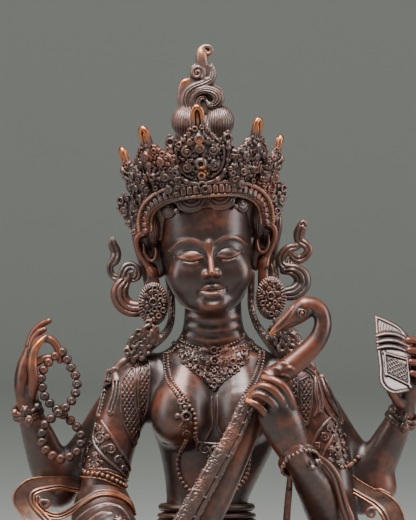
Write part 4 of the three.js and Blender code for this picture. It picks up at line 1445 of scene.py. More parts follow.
@dataclass
class Leaf:
    """One leaf of the crown, standing on the xz plane with its face towards -y.

    Attributes:
        half: half its width.
        tall: its height with the tip.
        tip: half the tip's width.
        seed: for the order of draws in its ornament.
        framed: whether a double frame runs round its foot, as on the middle leaf.
    """

    half: float
    tall: float
    tip: float
    seed: int
    framed: bool = False

    def finger(self, clay: Clay) -> None:
        """The smooth upright tip: a rounded rim about a tongue."""
        a, h = self.tip - 1.1, self.tall
        foot = h - 3.9 * self.tip
        clay.limb([(0, 0.9, foot - 2, self.tip * 0.86), (0, 0.8, h - 1.2 * self.tip, self.tip * 0.86)],
            0.5, flat=0.42)
        rim = [(-a * 0.92, -0.6, foot - 1.5, 1.05), (-a * 1.02, -0.9, h - 2.2 * self.tip, 1.15),
               (-a * 0.85, -0.7, h - 0.9 * self.tip, 1.25), (0, -0.3, h - 1.25, 1.4)]
        clay.limb(rim + mirror(rim[:-1])[::-1].tolist(), 0.3, count=48)
        tongue = 0.26 * self.tip
        clay.limb([(0, -0.4, foot - 1.5, tongue), (0, -0.8, h - 2.4 * self.tip, tongue),
            (0, -0.5, h - 1.45 * self.tip, 0.6 * tongue)], 0.2)

    def form(self) -> Shell:
        """The leaf's plate, its jewels, scrolls and tip."""
        w, h = self.half, self.tall
        clay = Clay((-w - 3, -7.5, -4), (w + 3, 5, h + 2), 0.36)
        chase = Chasing(clay, level=-1.3)
        if self.framed:
            side = [(0.34, -0.06), (0.68, 0), (0.9, 0.13), (1, 0.29), (1, 0.4), (1.04, 0.52), (0.88, 0.62),
                (0.73, 0.57), (0.66, 0.5), (0.52, 0.57), (0.37, 0.65), (0.24, 0.73)]
            taken = [(0, 0.265, 0.27), (0, 0.47, 0.16), (0, 0.59, 0.16), (0, 0.115, 0.13), (0, -0.01, 0.15),
                     (0.40, 0.42, 0.18), (0.43, 0.22, 0.18), (0.27, 0.54, 0.10)]
        else:
            side = [(0.35, -0.06), (0.7, 0), (0.96, 0.12), (1.04, 0.27), (0.95, 0.4), (1.0, 0.5), (0.82, 0.57),
                (0.64, 0.61), (0.46, 0.67), (0.34, 0.73)]
            taken = [(0, 0.29, 0.25), (0, 0.60, 0.17), (0, 0.47, 0.14), (0, 0.135, 0.12), (0, 0.03, 0.10),
                     (0.52, 0.48, 0.19), (0.56, 0.27, 0.21), (0.50, 0.08, 0.18)]
        outline = [(x * w, z * h) for x, z in side] + [(-x * w, z * h) for x, z in reversed(side)]
        clay.plate(outline, 1.25)
        rounds = [(x * w, z * h, r * w) for x, z, r in taken]
        for x, z, r in rounds:
            for s in (-1, 1):
                clay.ball((s * x, -0.6, z), (1.35 * r, 2.3, 1.35 * r), blend=1.2)
        chase.ground = Ground(clay.surface().tree())
        _, middle, reach = rounds[0]
        chase.boss(0, middle, reach * 0.8, 0.2, 0.6).jewel(0, middle, reach * 0.62, 1.2)
        for i in range(8):
            a = math.pi * (i + 0.5) / 4
            chase.boss(reach * math.cos(a), middle + reach * math.sin(a), 0.85 + 0.25 * (i % 2), 0.5)
        for x, z, r in rounds[1:3]:
            chase.ring(x, z - 0.2, r * 0.66, r * 0.3, 1.2).boss(x, z - 0.3, r * 0.4, 1.3)
            chase.strand([(-r, z - r * 0.7, 0.5), (0, z + r * 0.75, 0.6), (r, z - r * 0.7, 0.5)], 0.9)
        for x, z, r in rounds[3:5]:
            chase.jewel(x, z, r, 1.0)
        for i, (x, z, r) in enumerate(rounds[5:]):
            for s in (-1, 1):
                chase.scroll(s * x, z, r - 0.5, s * (1.4 if i % 2 else -1.4), 90, 0.66, 0.7)
        if self.framed:
            outer = [(0.89, 0.48), (0.89, 0.34), (0.82, 0.2), (0.62, 0.075), (0.32, 0.015), (0.16, 0.005)]
            inner = [(0.74, 0.45), (0.745, 0.34), (0.68, 0.225), (0.52, 0.135), (0.31, 0.085)]
            for s in (-1, 1):
                for rows, radius, rise in ((outer, 1.25, -2.6), (inner, 0.8, -2.3)):
                    clay.limb([(s * x * w, rise, z * h, radius) for x, z in rows], 0.25, count=30)
                for x, z in ((0.89, 0.42), (0.87, 0.27), (0.74, 0.135), (0.48, 0.04)):
                    clay.ball((s * x * w, -3.0, z * h), 1.5, blend=0.3)
                chase.jewel(s * 0.89 * w, 0.545 * h, 2.4, 0.9).boss(s * 0.89 * w, 0.61 * h, 0.95, 0.4)
            rounds += [(x * w, z * h, 1.5) for x, z in outer] + [(x * w, z * h, 0.8) for x, z in inner]
            rounds += [(0.89 * w, 0.545 * h, 2.4)]
        both = rounds + [(-x, z, r) for x, z, r in rounds if x]
        chase.fill(outline, (1.6, 1.25, 1.0, 0.8, 0.6), self.seed, 0.35, both)
        for s in (-1, 1):
            for (x, z), (u, v) in zip(side[1:], side[2:]):
                chase.boss(s * (x + u) * 0.49 * w, (z + v) * 0.5 * h, 0.95, -0.2, 1.2)
        self.finger(clay)
        return clay.surface()


@dataclass
class Crown:
    """The five-leaf crown and its band, in the head's frame.

    Attributes:
        half: half the band's width.
        leaves: angle to the side, reach of foot and tip, height of foot and tip, half-width and half the
            tip's width of each.
        bend: how fast a leaf curves back, depth per width squared.
    """

    head: Head
    half: float = 30.8
    leaves: tuple[tuple[float, ...], ...] = (
        (-3, 26.5, 37.0, 76.5, 115.3, 16.2, 3.5), (46, 28.5, 40.5, 72.0, 107.0, 12.8, 3.1),
        (-46, 28.5, 40.5, 72.0, 107.0, 12.8, 3.1), (76, 32.0, 42.3, 69.5, 97.5, 11.6, 2.9),
        (-76, 31.5, 40.3, 69.5, 97.5, 11.6, 2.9))
    bend: float = 0.012

    def arch(self, lift: float, out: float, count: int = 80) -> tuple[np.ndarray, np.ndarray]:
        """The band's line over the brow in the row frame, and the way out from it.

        Args:
            lift: how far above the band's middle.
            out: how far off the head.
            count: how many points.
        """
        a = np.linspace(math.pi, 0, count)
        power = 2 / 3.0
        x = self.half * np.sign(np.cos(a)) * np.abs(np.cos(a)) ** power
        z = 54.5 + 18.5 * np.abs(np.sin(a)) ** power
        flow = unit(np.stack([np.gradient(x), np.zeros(count), np.gradient(z)], 1))
        x, z = x - lift * flow[:, 2], z + lift * flow[:, 0]
        bow = np.sqrt(np.maximum(1 - (x / (self.half + 1.4 + lift + 0.3 * out)) ** 2, 0.02))
        y = -2.0 - (22.1 + out) * bow
        facing = unit(np.stack([x * 0.55, -8 - 22 * bow, np.full(count, 4.0)], 1))
        turn = self.head.frame()[:3, :3]
        return self.head.place(np.stack([x, y, z], 1)), facing @ turn.T

    def stand(self, shell: Shell, base: Sequence[float], angle: float, rise: np.ndarray) -> Shell:
        """Stands a flat form on the head.

        Args:
            shell: the form, on the xz plane with its face towards -y.
            base: where its foot goes, in the head's frame.
            angle: how far it is turned to the side, in degrees.
            rise: the way up along it.
        """
        a = math.radians(angle)
        across = np.array([math.cos(a), math.sin(a), 0])
        up = rise / np.linalg.norm(rise)
        out = np.cross(across, up)
        out *= np.sign(out @ (math.sin(a), -math.cos(a), 0))
        p = shell.points
        depth = p[:, 1:2] + self.bend * p[:, :1] ** 2
        points = base + p[:, :1] * across - depth * out + p[:, 2:] * up
        return outward(Shell(self.head.place(points), shell.faces))

    def wing(self, seed: int) -> Shell:
        """The scrolls that spread beside the temples."""
        clay = Clay((-14, -7, -8), (14, 5, 20), 0.36)
        edge = [(-5, 16), (-8.6, 12.5), (-9, 8), (-6.6, 3), (-4.6, -1.5), (-1.5, -5), (3, -5.5), (7, -1),
            (8, 6), (6, 12), (1, 15)]
        clay.plate(edge, 1.6)
        chase = Chasing(clay, level=-1.4).jewel(-6.2, 12.6, 2.2, 0.8)
        chase.scroll(-5.4, 6.6, 2.5, 1.4, 60, 0.75, 0.5).scroll(0.6, 8.4, 2.7, -1.4, 90, 0.8, 0.6)
        chase.fill(edge, (2.1, 1.6, 1.2, 0.85), seed, 0.3, [(-6.2, 12.6, 2.2), (-5.4, 6.6, 3.0),
            (0.6, 8.4, 3.2)])
        return clay.surface()

    def core(self) -> Shell:
        """The plain ring that carries the leaves."""
        clay = Clay((-38, -30, 46), (38, 38, 92), 0.7)
        clay.loft([(49, 0, 5, 29, 16), (54, 0, 5, 31.4, 18.5), (60, 0, 5, 32.8, 21), (67, 0, 4, 33, 24.4),
            (74, 0, 3, 32, 26.6), (79, 0, 3, 30.5, 26.6), (84, 0, 3.5, 26, 23.5)], 0, power=2.1)
        return clay.surface(self.head.place)

    def build(self, pieces: Pieces, strand: Strand) -> None:
        """Makes the leaves, the band's ropes, blocks and jewel."""
        made = None
        for i, (angle, foot, tip, low, high, half, wide) in enumerate(self.leaves):
            a = math.radians(angle)
            away = np.array([math.sin(a), -math.cos(a), 0])
            rise = np.array([0, 0, high - low]) + away * (tip - foot)
            leaf = Leaf(half, float(np.linalg.norm(rise)), wide, 11 + i, i == 0).form()
            one = self.stand(leaf, away * foot + (0, 2, low), angle, rise)
            made = made + one if made else one
            top = self.head.place((away * tip + (0, 2, high - 3))[None])[0]
            pieces.rub.spots.append((*top, 6.5))
        for i, s in enumerate((-1, 1)):
            wing = self.wing(31 + i)
            if s > 0:
                wing.points = wing.points * (-1, 1, 1)
            made = made + self.stand(wing, (s * 33.6, -1, 58), s * 28, np.array([s * 0.1, 0, 1.0]))
        pieces.add("crown_leaves", made, Wear(6, 1.5, budget=176))
        pieces.add("crown_core", self.core(), Wear(8, budget=8))
        strip = [(-1, -0.6), (1, -0.6), (1, 0.5), (0.7, 0.7), (-0.7, 0.7), (-1, 0.5)]
        points, face = self.arch(-0.2, 0.6)
        rows = np.hstack([points, np.full((len(points), 1), 3.3), np.full((len(points), 1), 2.4)])
        pieces.add("crown_band", sweep(rows, strip, face, count=160), Wear(4, 0.15))
        rope = lathe([(0, -1.35), (0.55, -1.0), (0.72, 0), (0.55, 1.0), (0, 1.35)], 8)
        rope.points = rope.points @ turned((90, 0, 0)).T @ turned((0, 0, 42)).T
        block = Clay((-2.1, -2.9, -1.9), (2.1, 2.9, 2.2), 0.3).block((0, 0, 0), (1.48, 2.2, 1.4), soft=0.95)
        block.limb([(0.2, -1.7, 1.6, 0.3), (-0.2, 1.7, 1.6, 0.3)], 0.1, mode=Mode.CUT)
        for name, form, lift, out, pitch in (("crown_rope_high", rope, 3.2, 3.0, 1.15),
                ("crown_blocks", thinned(block.surface(), 0.26), 0.0, 2.6, 3.15),
                ("crown_rope_low", rope, -3.2, 2.8, 1.15)):
            points, face = self.arch(lift, out)
            strand.along(pieces, name, form, [Course(points, face)], pitch, gain=0.7)
        seat = Clay((-4, -4, -4), (4, 4, 4), 0.3)
        Chasing(seat).boss(0, 0, 2.3, 0.2, 0.7).jewel(0, 0, 2.2, 1.0)
        pieces.add("crown_jewel", seat.surface(lambda p: self.head.place(p + (-0.4, -28.2, 73.0))),
            Wear(4, budget=1.5))


@dataclass
class Hair:
    """Scalloped hair over the brow, locks behind the ears, and the tall dressed topknot."""

    head: Head

    def brow(self) -> Shell:
        """The hair that shows under the crown, in curved combed strands."""
        clay = Clay((-33, -28, 44), (33, 12, 76), 0.36)
        clay.loft([(64, 0, 1.4, 22.6, 24.8), (70, 0, 2.2, 23, 25.2), (75, 0, 3, 23, 25)], 0)
        for s in (-1, 1):
            clay.ball((s * 26.2, 0, 58.5), (4.4, 12, 12.5), blend=1)
            for k in range(5):
                x = 22.4 + 1.2 * k
                clay.line([(s * x, 46.5, 0.24), (s * (x + 0.2), 56, 0.3), (s * (x - 0.6), 65, 0.24)],
                    0.05, 0.25, Mode.CUT, 4)
            for x, y, z, a, c, turn in ((7.2, -21.5, 66.4, 7.4, 4.6, -2), (18.8, -15.6, 64.6, 4.6, 4.8, 42)):
                clay.ball((s * x, y, z), (a, 2.0, c), turn=(0, 0, s * turn), blend=0.5)
                for k in range(5):
                    r = 0.90 - 0.165 * k
                    arc = []
                    for t in np.linspace(-1.2, 1.2, 9):
                        arc.append((s * (x + a * r * math.sin(t) * math.cos(math.radians(turn))),
                                    z + 3 - (c + 3) * r * math.cos(t) * 0.96 + 1.0 * k, 0.24))
                    clay.line(arc, 0.06, 0.25, Mode.CUT, 3)
            clay.ball((s * 14.8, -20.4, 63.4), 1.5, blend=0.4)
            clay.line([(s * 15.9, 63.6, 0.3), (s * 14.8, 64.3, 0.3), (s * 14.0, 63.2, 0.3)], 0.1, 0.2, Mode.CUT)
        return clay.surface(self.head.place)

    def behind(self) -> Shell:
        """The mass behind the ears, the strands to the shoulders and the plain combed back."""
        clay = Clay((-44, 0, 168), (46, 46, 300), 0.7)
        clay.ball((-1, 18, 240), (28, 20, 30), blend=0)
        clay.ball((-3, 17, 260), (29, 23, 24), blend=6)
        clay.ball((-4.5, 13, 281), (13, 14, 15), blend=6)
        for i in range(17):
            a = math.radians(10 + i * 10)
            x, y = math.cos(a), math.sin(a)
            clay.limb([(-4.5 + 13 * x, 14 + 14 * y, 290, 0.5), (-3 + 29.5 * x, 17 + 23.5 * y, 264, 0.6),
                (-1 + 28.5 * x, 18 + 20.5 * y, 240, 0.6), (-1 + 23 * x, 17 + 17 * y, 219, 0.5)],
                0.5, mode=Mode.CUT)
        for rows in (
                [(-36.4, 14, 244.5, 2.6), (-35.7, 14, 239.9, 3.2), (-34.2, 14, 232.4, 3.2),
                 (-31.9, 13.5, 224.4, 3.0), (-30.1, 12, 216.4, 2.8), (-28.6, 10, 207.3, 2.4)],
                [(33.7, 14, 250.5, 2.6), (33.7, 14, 244.5, 3.2), (32.2, 14, 235.4, 3.0),
                 (31.1, 13.5, 228.4, 3.0), (32.4, 12, 219.4, 2.8), (32.6, 10, 210.4, 2.4)],
                [(-20.6, 14, 218.3, 1.6), (-19.1, 13, 209.8, 1.8), (-18.6, 11, 202.3, 1.8),
                 (-19.6, 8, 194.8, 1.9), (-23, 5, 189.4, 2.2), (-28.5, 3, 184.9, 2.4), (-34.5, 1, 180, 2.6)],
                [(21.6, 14, 220.3, 1.6), (21.1, 13, 211.3, 1.8), (21.3, 11, 203.3, 1.8),
                 (23.6, 8, 195.8, 1.9), (27.1, 6, 190.4, 2.2), (31.6, 5, 184.4, 2.4), (37.6, 6, 177.3, 2.6)]):
            clay.lock(rows, 2, 0.85, 0.6, 0.42)
        return clay.surface()

    def topknot(self) -> Shell:
        """Two combed lobes under curling locks that rise to a small scrolled tip."""
        clay = Clay((-23, -10, 279), (17, 14, 338), 0.32)
        body = [(-13, 300.5), (-14.8, 306.5), (-14.2, 313.5), (-12.5, 317.5), (-10, 318.5), (-9, 324.5),
            (-6, 326.5), (-5.5, 329.5), (-1.5, 328.5), (-0.5, 325.5), (2, 324.5), (3.8, 319.5), (2.5, 315.5),
            (6.5, 313.5), (8, 308.5), (6.5, 303.5), (1.5, 300.5)]
        clay.plate(body, 4.0)
        clay.ball((-4, 2, 290), (13, 11, 12), blend=0)
        for x, lean in ((-11.5, -1), (5.2, 1)):
            clay.ball((x, -1, 296.5), (7.4, 9, 8.6), turn=(0, lean * 8, 0), blend=0.6)
            for k in range(11):
                u = -0.84 + 0.168 * k
                clay.line([(x + u * 4.5, 286, 0.2), (x + u * 7.4, 292, 0.27), (x + u * 7.6, 298, 0.27),
                           (x + u * 5.6 - lean * 0.6, 303, 0.2)], 0.05, 0.2, Mode.CUT, 5)
        clay.lock([(-12.5, -2.6, 301.5, 1.3), (-14.2, -2.8, 306.5, 1.6), (-14.3, -2.8, 311.4, 1.6),
            (-13, -2.6, 315.9, 1.7), (-11.3, -2.4, 317.9, 1.0)], 0, 0.8)
        clay.lock([(-9.5, -3.2, 300.9, 1.6), (-11.8, -3.6, 305.9, 2.0), (-11, -4, 310.7, 2.2),
            (-7.5, -4.2, 313.9, 2.1), (-3, -4.2, 315.6, 2.0), (0.8, -4, 317.7, 1.9), (2.1, -3.6, 320.9, 1.6),
            (1.5, -3.2, 325.6, 0.4)], 2, 0.8, 0.5, 0.36, 0.1)
        curl = spiral((-5.9, -4.4, 321), 3.6, 1.65, -40, 1.05, 0.14, 24)
        clay.lock([(-0.7, -4.2, 317.9, 0.9)] + curl.tolist(), 0, 0.9)
        clay.lock([(-7, -3.4, 300.9, 1.2), (-8.5, -4, 305.7, 1.5), (-7.5, -4.4, 309.7, 1.7),
            (-4.2, -4.8, 312.1, 1.9), (0, -5.2, 312.4, 2.3), (3.8, -5.6, 310.5, 2.8), (4.8, -5.6, 307.6, 2.8),
            (2.7, -5.4, 305.1, 2.1), (0.3, -5, 305.3, 1.3), (-1, -4.8, 306.9, 0.6)], 3, 0.85, 0.4, 0.34, 0.08)
        clay.lock([(-3, -2.4, 323.9, 2.7), (-3.5, -3, 326.9, 3.1), (-3.9, -3.2, 329.9, 2.8),
            (-4, -3, 332.4, 1.9), (-2.2, -2.8, 334.3, 1.25), (0.3, -2.8, 334.1, 1.15), (1.3, -2.8, 332.3, 1.15),
            (0.2, -3, 330.8, 1.0), (-1.3, -3, 331.1, 0.8), (-1.5, -3, 332.2, 0.6)], 0, 0.8)
        clay.lock([(-4, -3.6, 300.9, 1.4), (-5.5, -3.8, 304.9, 1.5), (-4.7, -4, 307.9, 1.4),
            (-2.5, -4.2, 308.7, 1.2), (-1.2, -4.2, 307.2, 0.8)], 1, 0.8, 0.4, 0.34, 0.08)
        clay.limb([(-1.2, -1.6, 332.5, 2.4), (-3, -1.6, 329, 2.6)], 0.3, flat=0.5)
        return clay.surface(lambda p: p + (0, 7, 0))

    def shoulders(self, ground: Ground) -> Shell:
        """The knobs and rounded tongues of hair that fall over the shoulders."""
        clay = Clay((-62, -20, 138), (76, 24, 192), 0.42)
        for rows in (
                ((-47.5, 172, 2.2), (-46.2, 167.5, 2.5), (-46.5, 161, 2.4), (-48, 155.5, 2.4),
                 (-49, 152, 2.5)),
                ((-50, 171.5, 1.7), (-51.2, 164.5, 1.9), (-52.8, 158, 1.8), (-54.2, 152.5, 1.8),
                 (-54.8, 150, 1.9)),
                ((45.5, 174.5, 2.2), (52, 169.5, 2.2), (54.2, 162.5, 2.1), (55.5, 156.5, 1.9),
                 (55.5, 152.5, 1.6)),
                ((56.5, 168.5, 2.0), (59.5, 161.5, 2.2), (62.5, 155, 2.1), (65, 149.5, 1.9), (66, 146, 1.5))):
            path = [(x, float(ground.drop(x, z, 0.5)[0][1]), z, r) for x, z, r in smooth_path(rows, 12)]
            clay.lock(path, 2, 0.36, 0.5, 0.5, 0.1)
        for x, z, s in ((-43.2, 174.5, 1), (47, 177, -1)):
            y = float(ground.drop(x, z, 0.0)[0][1])
            clay.limb([(x + s * 3.2, y + 1.0, z + 2.6, 2.8), (x, y + 0.6, z, 3.5),
                (x - s * 3.4, y + 0.8, z - 3.8, 3.3)], 0.8, flat=0.6)
            clay.limb([(x + s * 4.4, y - 1.4, z + 0.4, 0.9), (x + s * 2.4, y - 1.9, z - 3.0, 1.1),
                (x - s * 1.8, y - 1.6, z - 4.2, 1.0)], 0.5)
            clay.limb([(x + s * 1.6, y - 2.4, z + 2.6, 0.4), (x - s * 0.6, y - 2.7, z - 0.4, 0.5)],
                0.5, mode=Mode.CUT)
        return clay.surface()


@dataclass
class Earrings:
    """Round jewelled earrings with hanging sprays, and the ribbons that curl behind them.

    Attributes:
        discs: x and z of each earring's middle.
    """

    discs: Rows = ((-27.8, 205.5), (31, 208.5))

    def form(self) -> Shell:
        """Both earrings and their sprays."""
        clay = Clay((-48, -10, 172), (54, 14, 222), 0.38)
        rays = 40
        for i, (x, z) in enumerate(self.discs):
            clay.ball((x, 2.4, z), (7.4, 2.6, 10.6), blend=0)
            chase = Chasing(clay, level=0.2)
            for k in range(rays):
                a = 2 * math.pi * (k + 0.5) / rays
                u, v = math.cos(a), math.sin(a)
                clay.limb([(x + 5.7 * u, 0.3, z + 8.5 * v, 0.4), (x + 7.4 * u, 1.4, z + 10.5 * v, 0.6)], 0.15)
            chase.jewel(x, z + 1, 2.3, 1.2)
            turn = np.linspace(0, 2 * math.pi, 16, endpoint=False)
            oval = [(x + 5.6 * math.cos(a), z + 8.2 * math.sin(a)) for a in turn]
            chase.fill(oval, (1.6, 1.3, 1.0, 0.75, 0.6), 51 + i, 0.6, [(x, z + 1, 2.5)])
        sprays = (
            ([(-29.5, 197), (-25.5, 193.5), (-25.5, 187.5), (-29, 182), (-34, 178.5), (-39.5, 177),
             (-41.5, 180.5), (-39.5, 186.5), (-35.5, 192)], 42, 205),
            ([(31.5, 199), (38.5, 196.5), (44.5, 190.5), (48.5, 183.5), (49.5, 177.5), (43.5, 175.5),
             (37.5, 179.5), (33.5, 186.5), (30.5, 192.5)], -32, 155))
        for i, (edge, lean, hang) in enumerate(sprays):
            x, z = np.array(edge).mean(0)
            clay.ball((x, 2.6, z), (6.6, 3.0, 10.5), turn=(0, lean, 0), blend=0.5)
            spray = Chasing(clay, level=-1.2).fill(edge, (1.9, 1.4), 61 + i, 0.4)
            spray.flames(edge, 3.4, hang, 65 + i, 0.3)
        return clay.surface()

    def ribbons(self) -> Shell:
        """The rippling ribbons beside the ears."""
        clay = Clay((-56, 0, 194), (56, 20, 252), 0.4)
        locks = (
            (((-48.3, 239.3, 0.4), (-48.4, 237, 1.6), (-48, 234.5, 2.5), (-46.7, 231, 2.7),
             (-47.2, 227.5, 2.6), (-49.2, 225, 1.9), (-49.6, 222, 1.8), (-47.8, 219, 1.9),
             (-45, 218.5, 1.9)), 1),
            (((-45, 216.5, 1.8), (-43.7, 220, 2.2), (-42, 223.5, 2.4), (-38.8, 224.5, 2.3),
             (-36, 222.3, 2.2), (-36, 219.2, 2.0), (-38.2, 217.7, 1.7), (-39.7, 219.5, 1.4),
             (-38.7, 221, 1.1)), 1),
            (((-41.5, 217.5, 2.6), (-44.5, 213, 4.3), (-44.5, 208, 4.6), (-41.2, 204, 4.6),
             (-36.5, 202.8, 4.2), (-31.5, 204, 3.4)), 2),
            (((47.8, 247.3, 0.7), (47, 245, 2.4), (45.3, 241, 2.9), (45.5, 237.2, 2.6), (48.8, 234.7, 2.3),
             (49.8, 231.8, 2.2), (47.5, 228.7, 2.4), (44.2, 227.8, 2.2), (41, 230.5, 1.6)), 1),
            (((44, 234, 1.8), (40.3, 233.2, 2.4), (37, 230.2, 2.6), (36.2, 226.5, 2.5), (38, 224, 2.2),
             (40.5, 224.7, 1.7), (40.5, 227.2, 1.3)), 1),
            (((37.5, 222.2, 2.2), (42, 222.5, 3.4), (46, 219.8, 4.3), (46.7, 215.3, 4.4), (43.5, 211.5, 4.2),
             (38.5, 210.5, 3.6), (34.5, 211, 3.0)), 2))
        for rows, grooves in locks:
            path = [(x, 10.0 - 0.7 * math.sin(i * 1.7), z, r) for i, (x, z, r) in enumerate(rows)]
            clay.lock(path, grooves, 0.62, 0.4, 0.5, 0.05)
        for x, z, s in ((-47.2, 223.2, 1), (-48.2, 235.5, -1), (47.3, 244.5, 1), (46.7, 233, -1),
                (40.5, 226.5, 1)):
            clay.limb([(x - 1.2, 8.4, z + 0.6, 0.5), (x, 8.0, z + 1.0 * s, 0.6), (x + 1.2, 8.4, z - 0.4, 0.5)],
                0.3, mode=Mode.CUT)
        return clay.surface()


@dataclass
class Hands:
    """The four hands, each with separate fingers."""

    def digits(self, clay: Clay, fingers: Sequence[Rows], blend: float = 0.7) -> None:
        """Adds fingers, each a course of x, y, z and radius."""
        for rows in fingers:
            clay.limb(rows, blend, count=18)

    def beads(self) -> Shell:
        """The raised hand that holds the prayer beads, seen from its edge."""
        clay = Clay((-104, -8, 146), (-66, 18, 202), 0.4)
        clay.limb([(-89.9, 6.5, 151.3, 5.6), (-91.7, 6, 158.3, 5.2), (-92.7, 5.5, 165.3, 5.0),
            (-91.9, 5, 173.4, 4.6), (-89.6, 4.5, 180.9, 3.6)], 0)
        clay.limb([(-91.8, 10, 161.2, 4.0), (-92.6, 10.5, 171.2, 3.8), (-90.3, 10, 180.8, 3.0)], 3)
        self.digits(clay, (
            [(-90.7, 8, 179.3, 2.4), (-89.8, 8.5, 185.8, 2.2), (-87.5, 8.5, 191.3, 2.1),
             (-84.2, 8, 194.8, 1.9), (-80.2, 7, 196.9, 1.5)],
            [(-89.6, 4.5, 180.4, 2.3), (-88.1, 4.5, 186.9, 2.1), (-85.4, 4.5, 190.9, 1.9),
             (-82.4, 4, 192.7, 1.4)],
            [(-88.5, 0.5, 181, 2.3), (-85.5, 0.2, 186.5, 2.3), (-81, 0, 188.2, 2.2), (-77.2, 0, 186, 2.1),
             (-75.2, 0, 182, 1.9), (-74.5, 0, 177, 1.6)],
            [(-89.1, 2, 173.4, 2.2), (-85.5, 1, 176.5, 2.1), (-81.5, 0.5, 178.5, 1.9),
             (-77.5, 0.5, 178.7, 1.6)],
            [(-89.1, 4.5, 157.4, 3.0), (-88, 0, 163.5, 2.8), (-87.7, -2, 169.1, 2.6),
             (-88.2, -2.6, 175.6, 2.4), (-87.4, -2.6, 181.6, 2.2), (-84.9, -2.2, 186, 1.8),
             (-81.5, -1.6, 189.5, 0.8)]))
        return clay.surface()

    def holding(self) -> Shell:
        """The raised hand behind the book, its fingers closing over the far edge."""
        clay = Clay((86, -16, 144), (110, 22, 196), 0.45)
        clay.limb([(97.2, 6.5, 150.3, 5.6), (97.9, 6, 155.3, 5.6), (99.7, 5.5, 161.3, 6),
            (101.2, 5.5, 169.3, 6.4), (101.2, 5.5, 178.4, 5.4)], 0)
        self.digits(clay, (
            [(102.2, 5, 181.4, 2.6), (104.2, 0, 185, 2.4), (103.8, -5.5, 187.1, 2.2),
             (99.5, -8, 187.4, 1.9)],
            [(103.1, 4, 176.4, 2.6), (105.2, -2, 179.5, 2.4), (104.5, -7.5, 181.7, 2.2),
             (99.9, -10, 182.5, 1.8)],
            [(103.4, 3, 171.4, 2.6), (105.4, -3, 174.1, 2.4), (105, -8.5, 175.7, 2.1),
             (100.6, -11, 176.8, 1.7)],
            [(103.1, 2, 166.4, 2.4), (104.9, -4, 168.6, 2.2), (104.7, -9.5, 170, 1.9),
             (101.1, -11.5, 171.3, 1.5)],
            [(95.5, 0, 155.5, 2.8), (92.8, -5, 158.7, 2.6), (90.7, -10, 162.3, 2.2),
             (89.6, -12, 165.9, 1.6)]))
        return clay.surface()

    def stopping(self) -> Shell:
        """The near hand, its fingers bent over the lute's neck."""
        clay = Clay((12, -52, 118), (60, -18, 176), 0.42)
        clay.limb([(46.5, -30, 124.8, 7.4), (43.5, -32.5, 130.8, 7.7), (40.5, -35.5, 137.4, 9.0),
            (36.8, -38, 145.4, 10.4), (34.3, -39, 150.9, 10.2)], 0, flat=0.62, normal=(-0.25, 1, 0.25))
        self.digits(clay, (
            [(41.4, -39, 152.8, 2.8), (39.7, -42.5, 159.8, 2.6), (36.4, -44, 165.3, 2.4),
             (31.8, -43, 168.5, 2.1), (27.1, -39.5, 169.9, 1.7)],
            [(37, -41, 153.9, 2.8), (35, -44.5, 159.4, 2.6), (30.5, -46, 164.1, 2.4),
             (25.4, -45, 165.6, 2.1), (20.2, -41.5, 163.3, 1.5)],
            [(33.5, -41.5, 151.4, 2.7), (31.3, -45, 157, 2.5), (27.3, -46.5, 160.5, 2.3),
             (23.1, -45.5, 161.7, 2.0), (19, -42.5, 159.8, 1.4)],
            [(30.1, -40.5, 147.9, 2.6), (27.1, -44, 153, 2.3), (23.4, -45.5, 156.7, 2.0),
             (18.7, -43.5, 158.4, 1.2)],
            [(37.1, -32, 140.7, 2.8), (31.1, -33, 145.7, 2.7), (27.2, -35, 151.2, 2.4)]))
        return clay.surface()

    def plucking(self) -> Shell:
        """The far hand over the lute's body, below what the photograph shows."""
        clay = Clay((-46, -64, 66), (-4, -30, 100), 0.5)
        clay.limb([(-36, -42, 85, 6.2), (-29, -50, 85.5, 7.6), (-22, -54, 85, 7.2)],
            0, flat=0.62, normal=(0.5, 0.8, 0))
        self.digits(clay, [[(-23, -54, 91 - 3.7 * i, 2.4), (-16, -56.5, 91.8 - 3.7 * i, 2.2),
            (-10, -53 + i, 89.6 - 3.6 * i, 1.7), (-7.4, -49 + i, 87.4 - 3.5 * i, 1.3)] for i in range(4)])
        self.digits(clay, ([(-30, -49, 92, 2.8), (-23, -50, 96, 2.5), (-15, -49.5, 96, 1.9)],))
        return clay.surface()


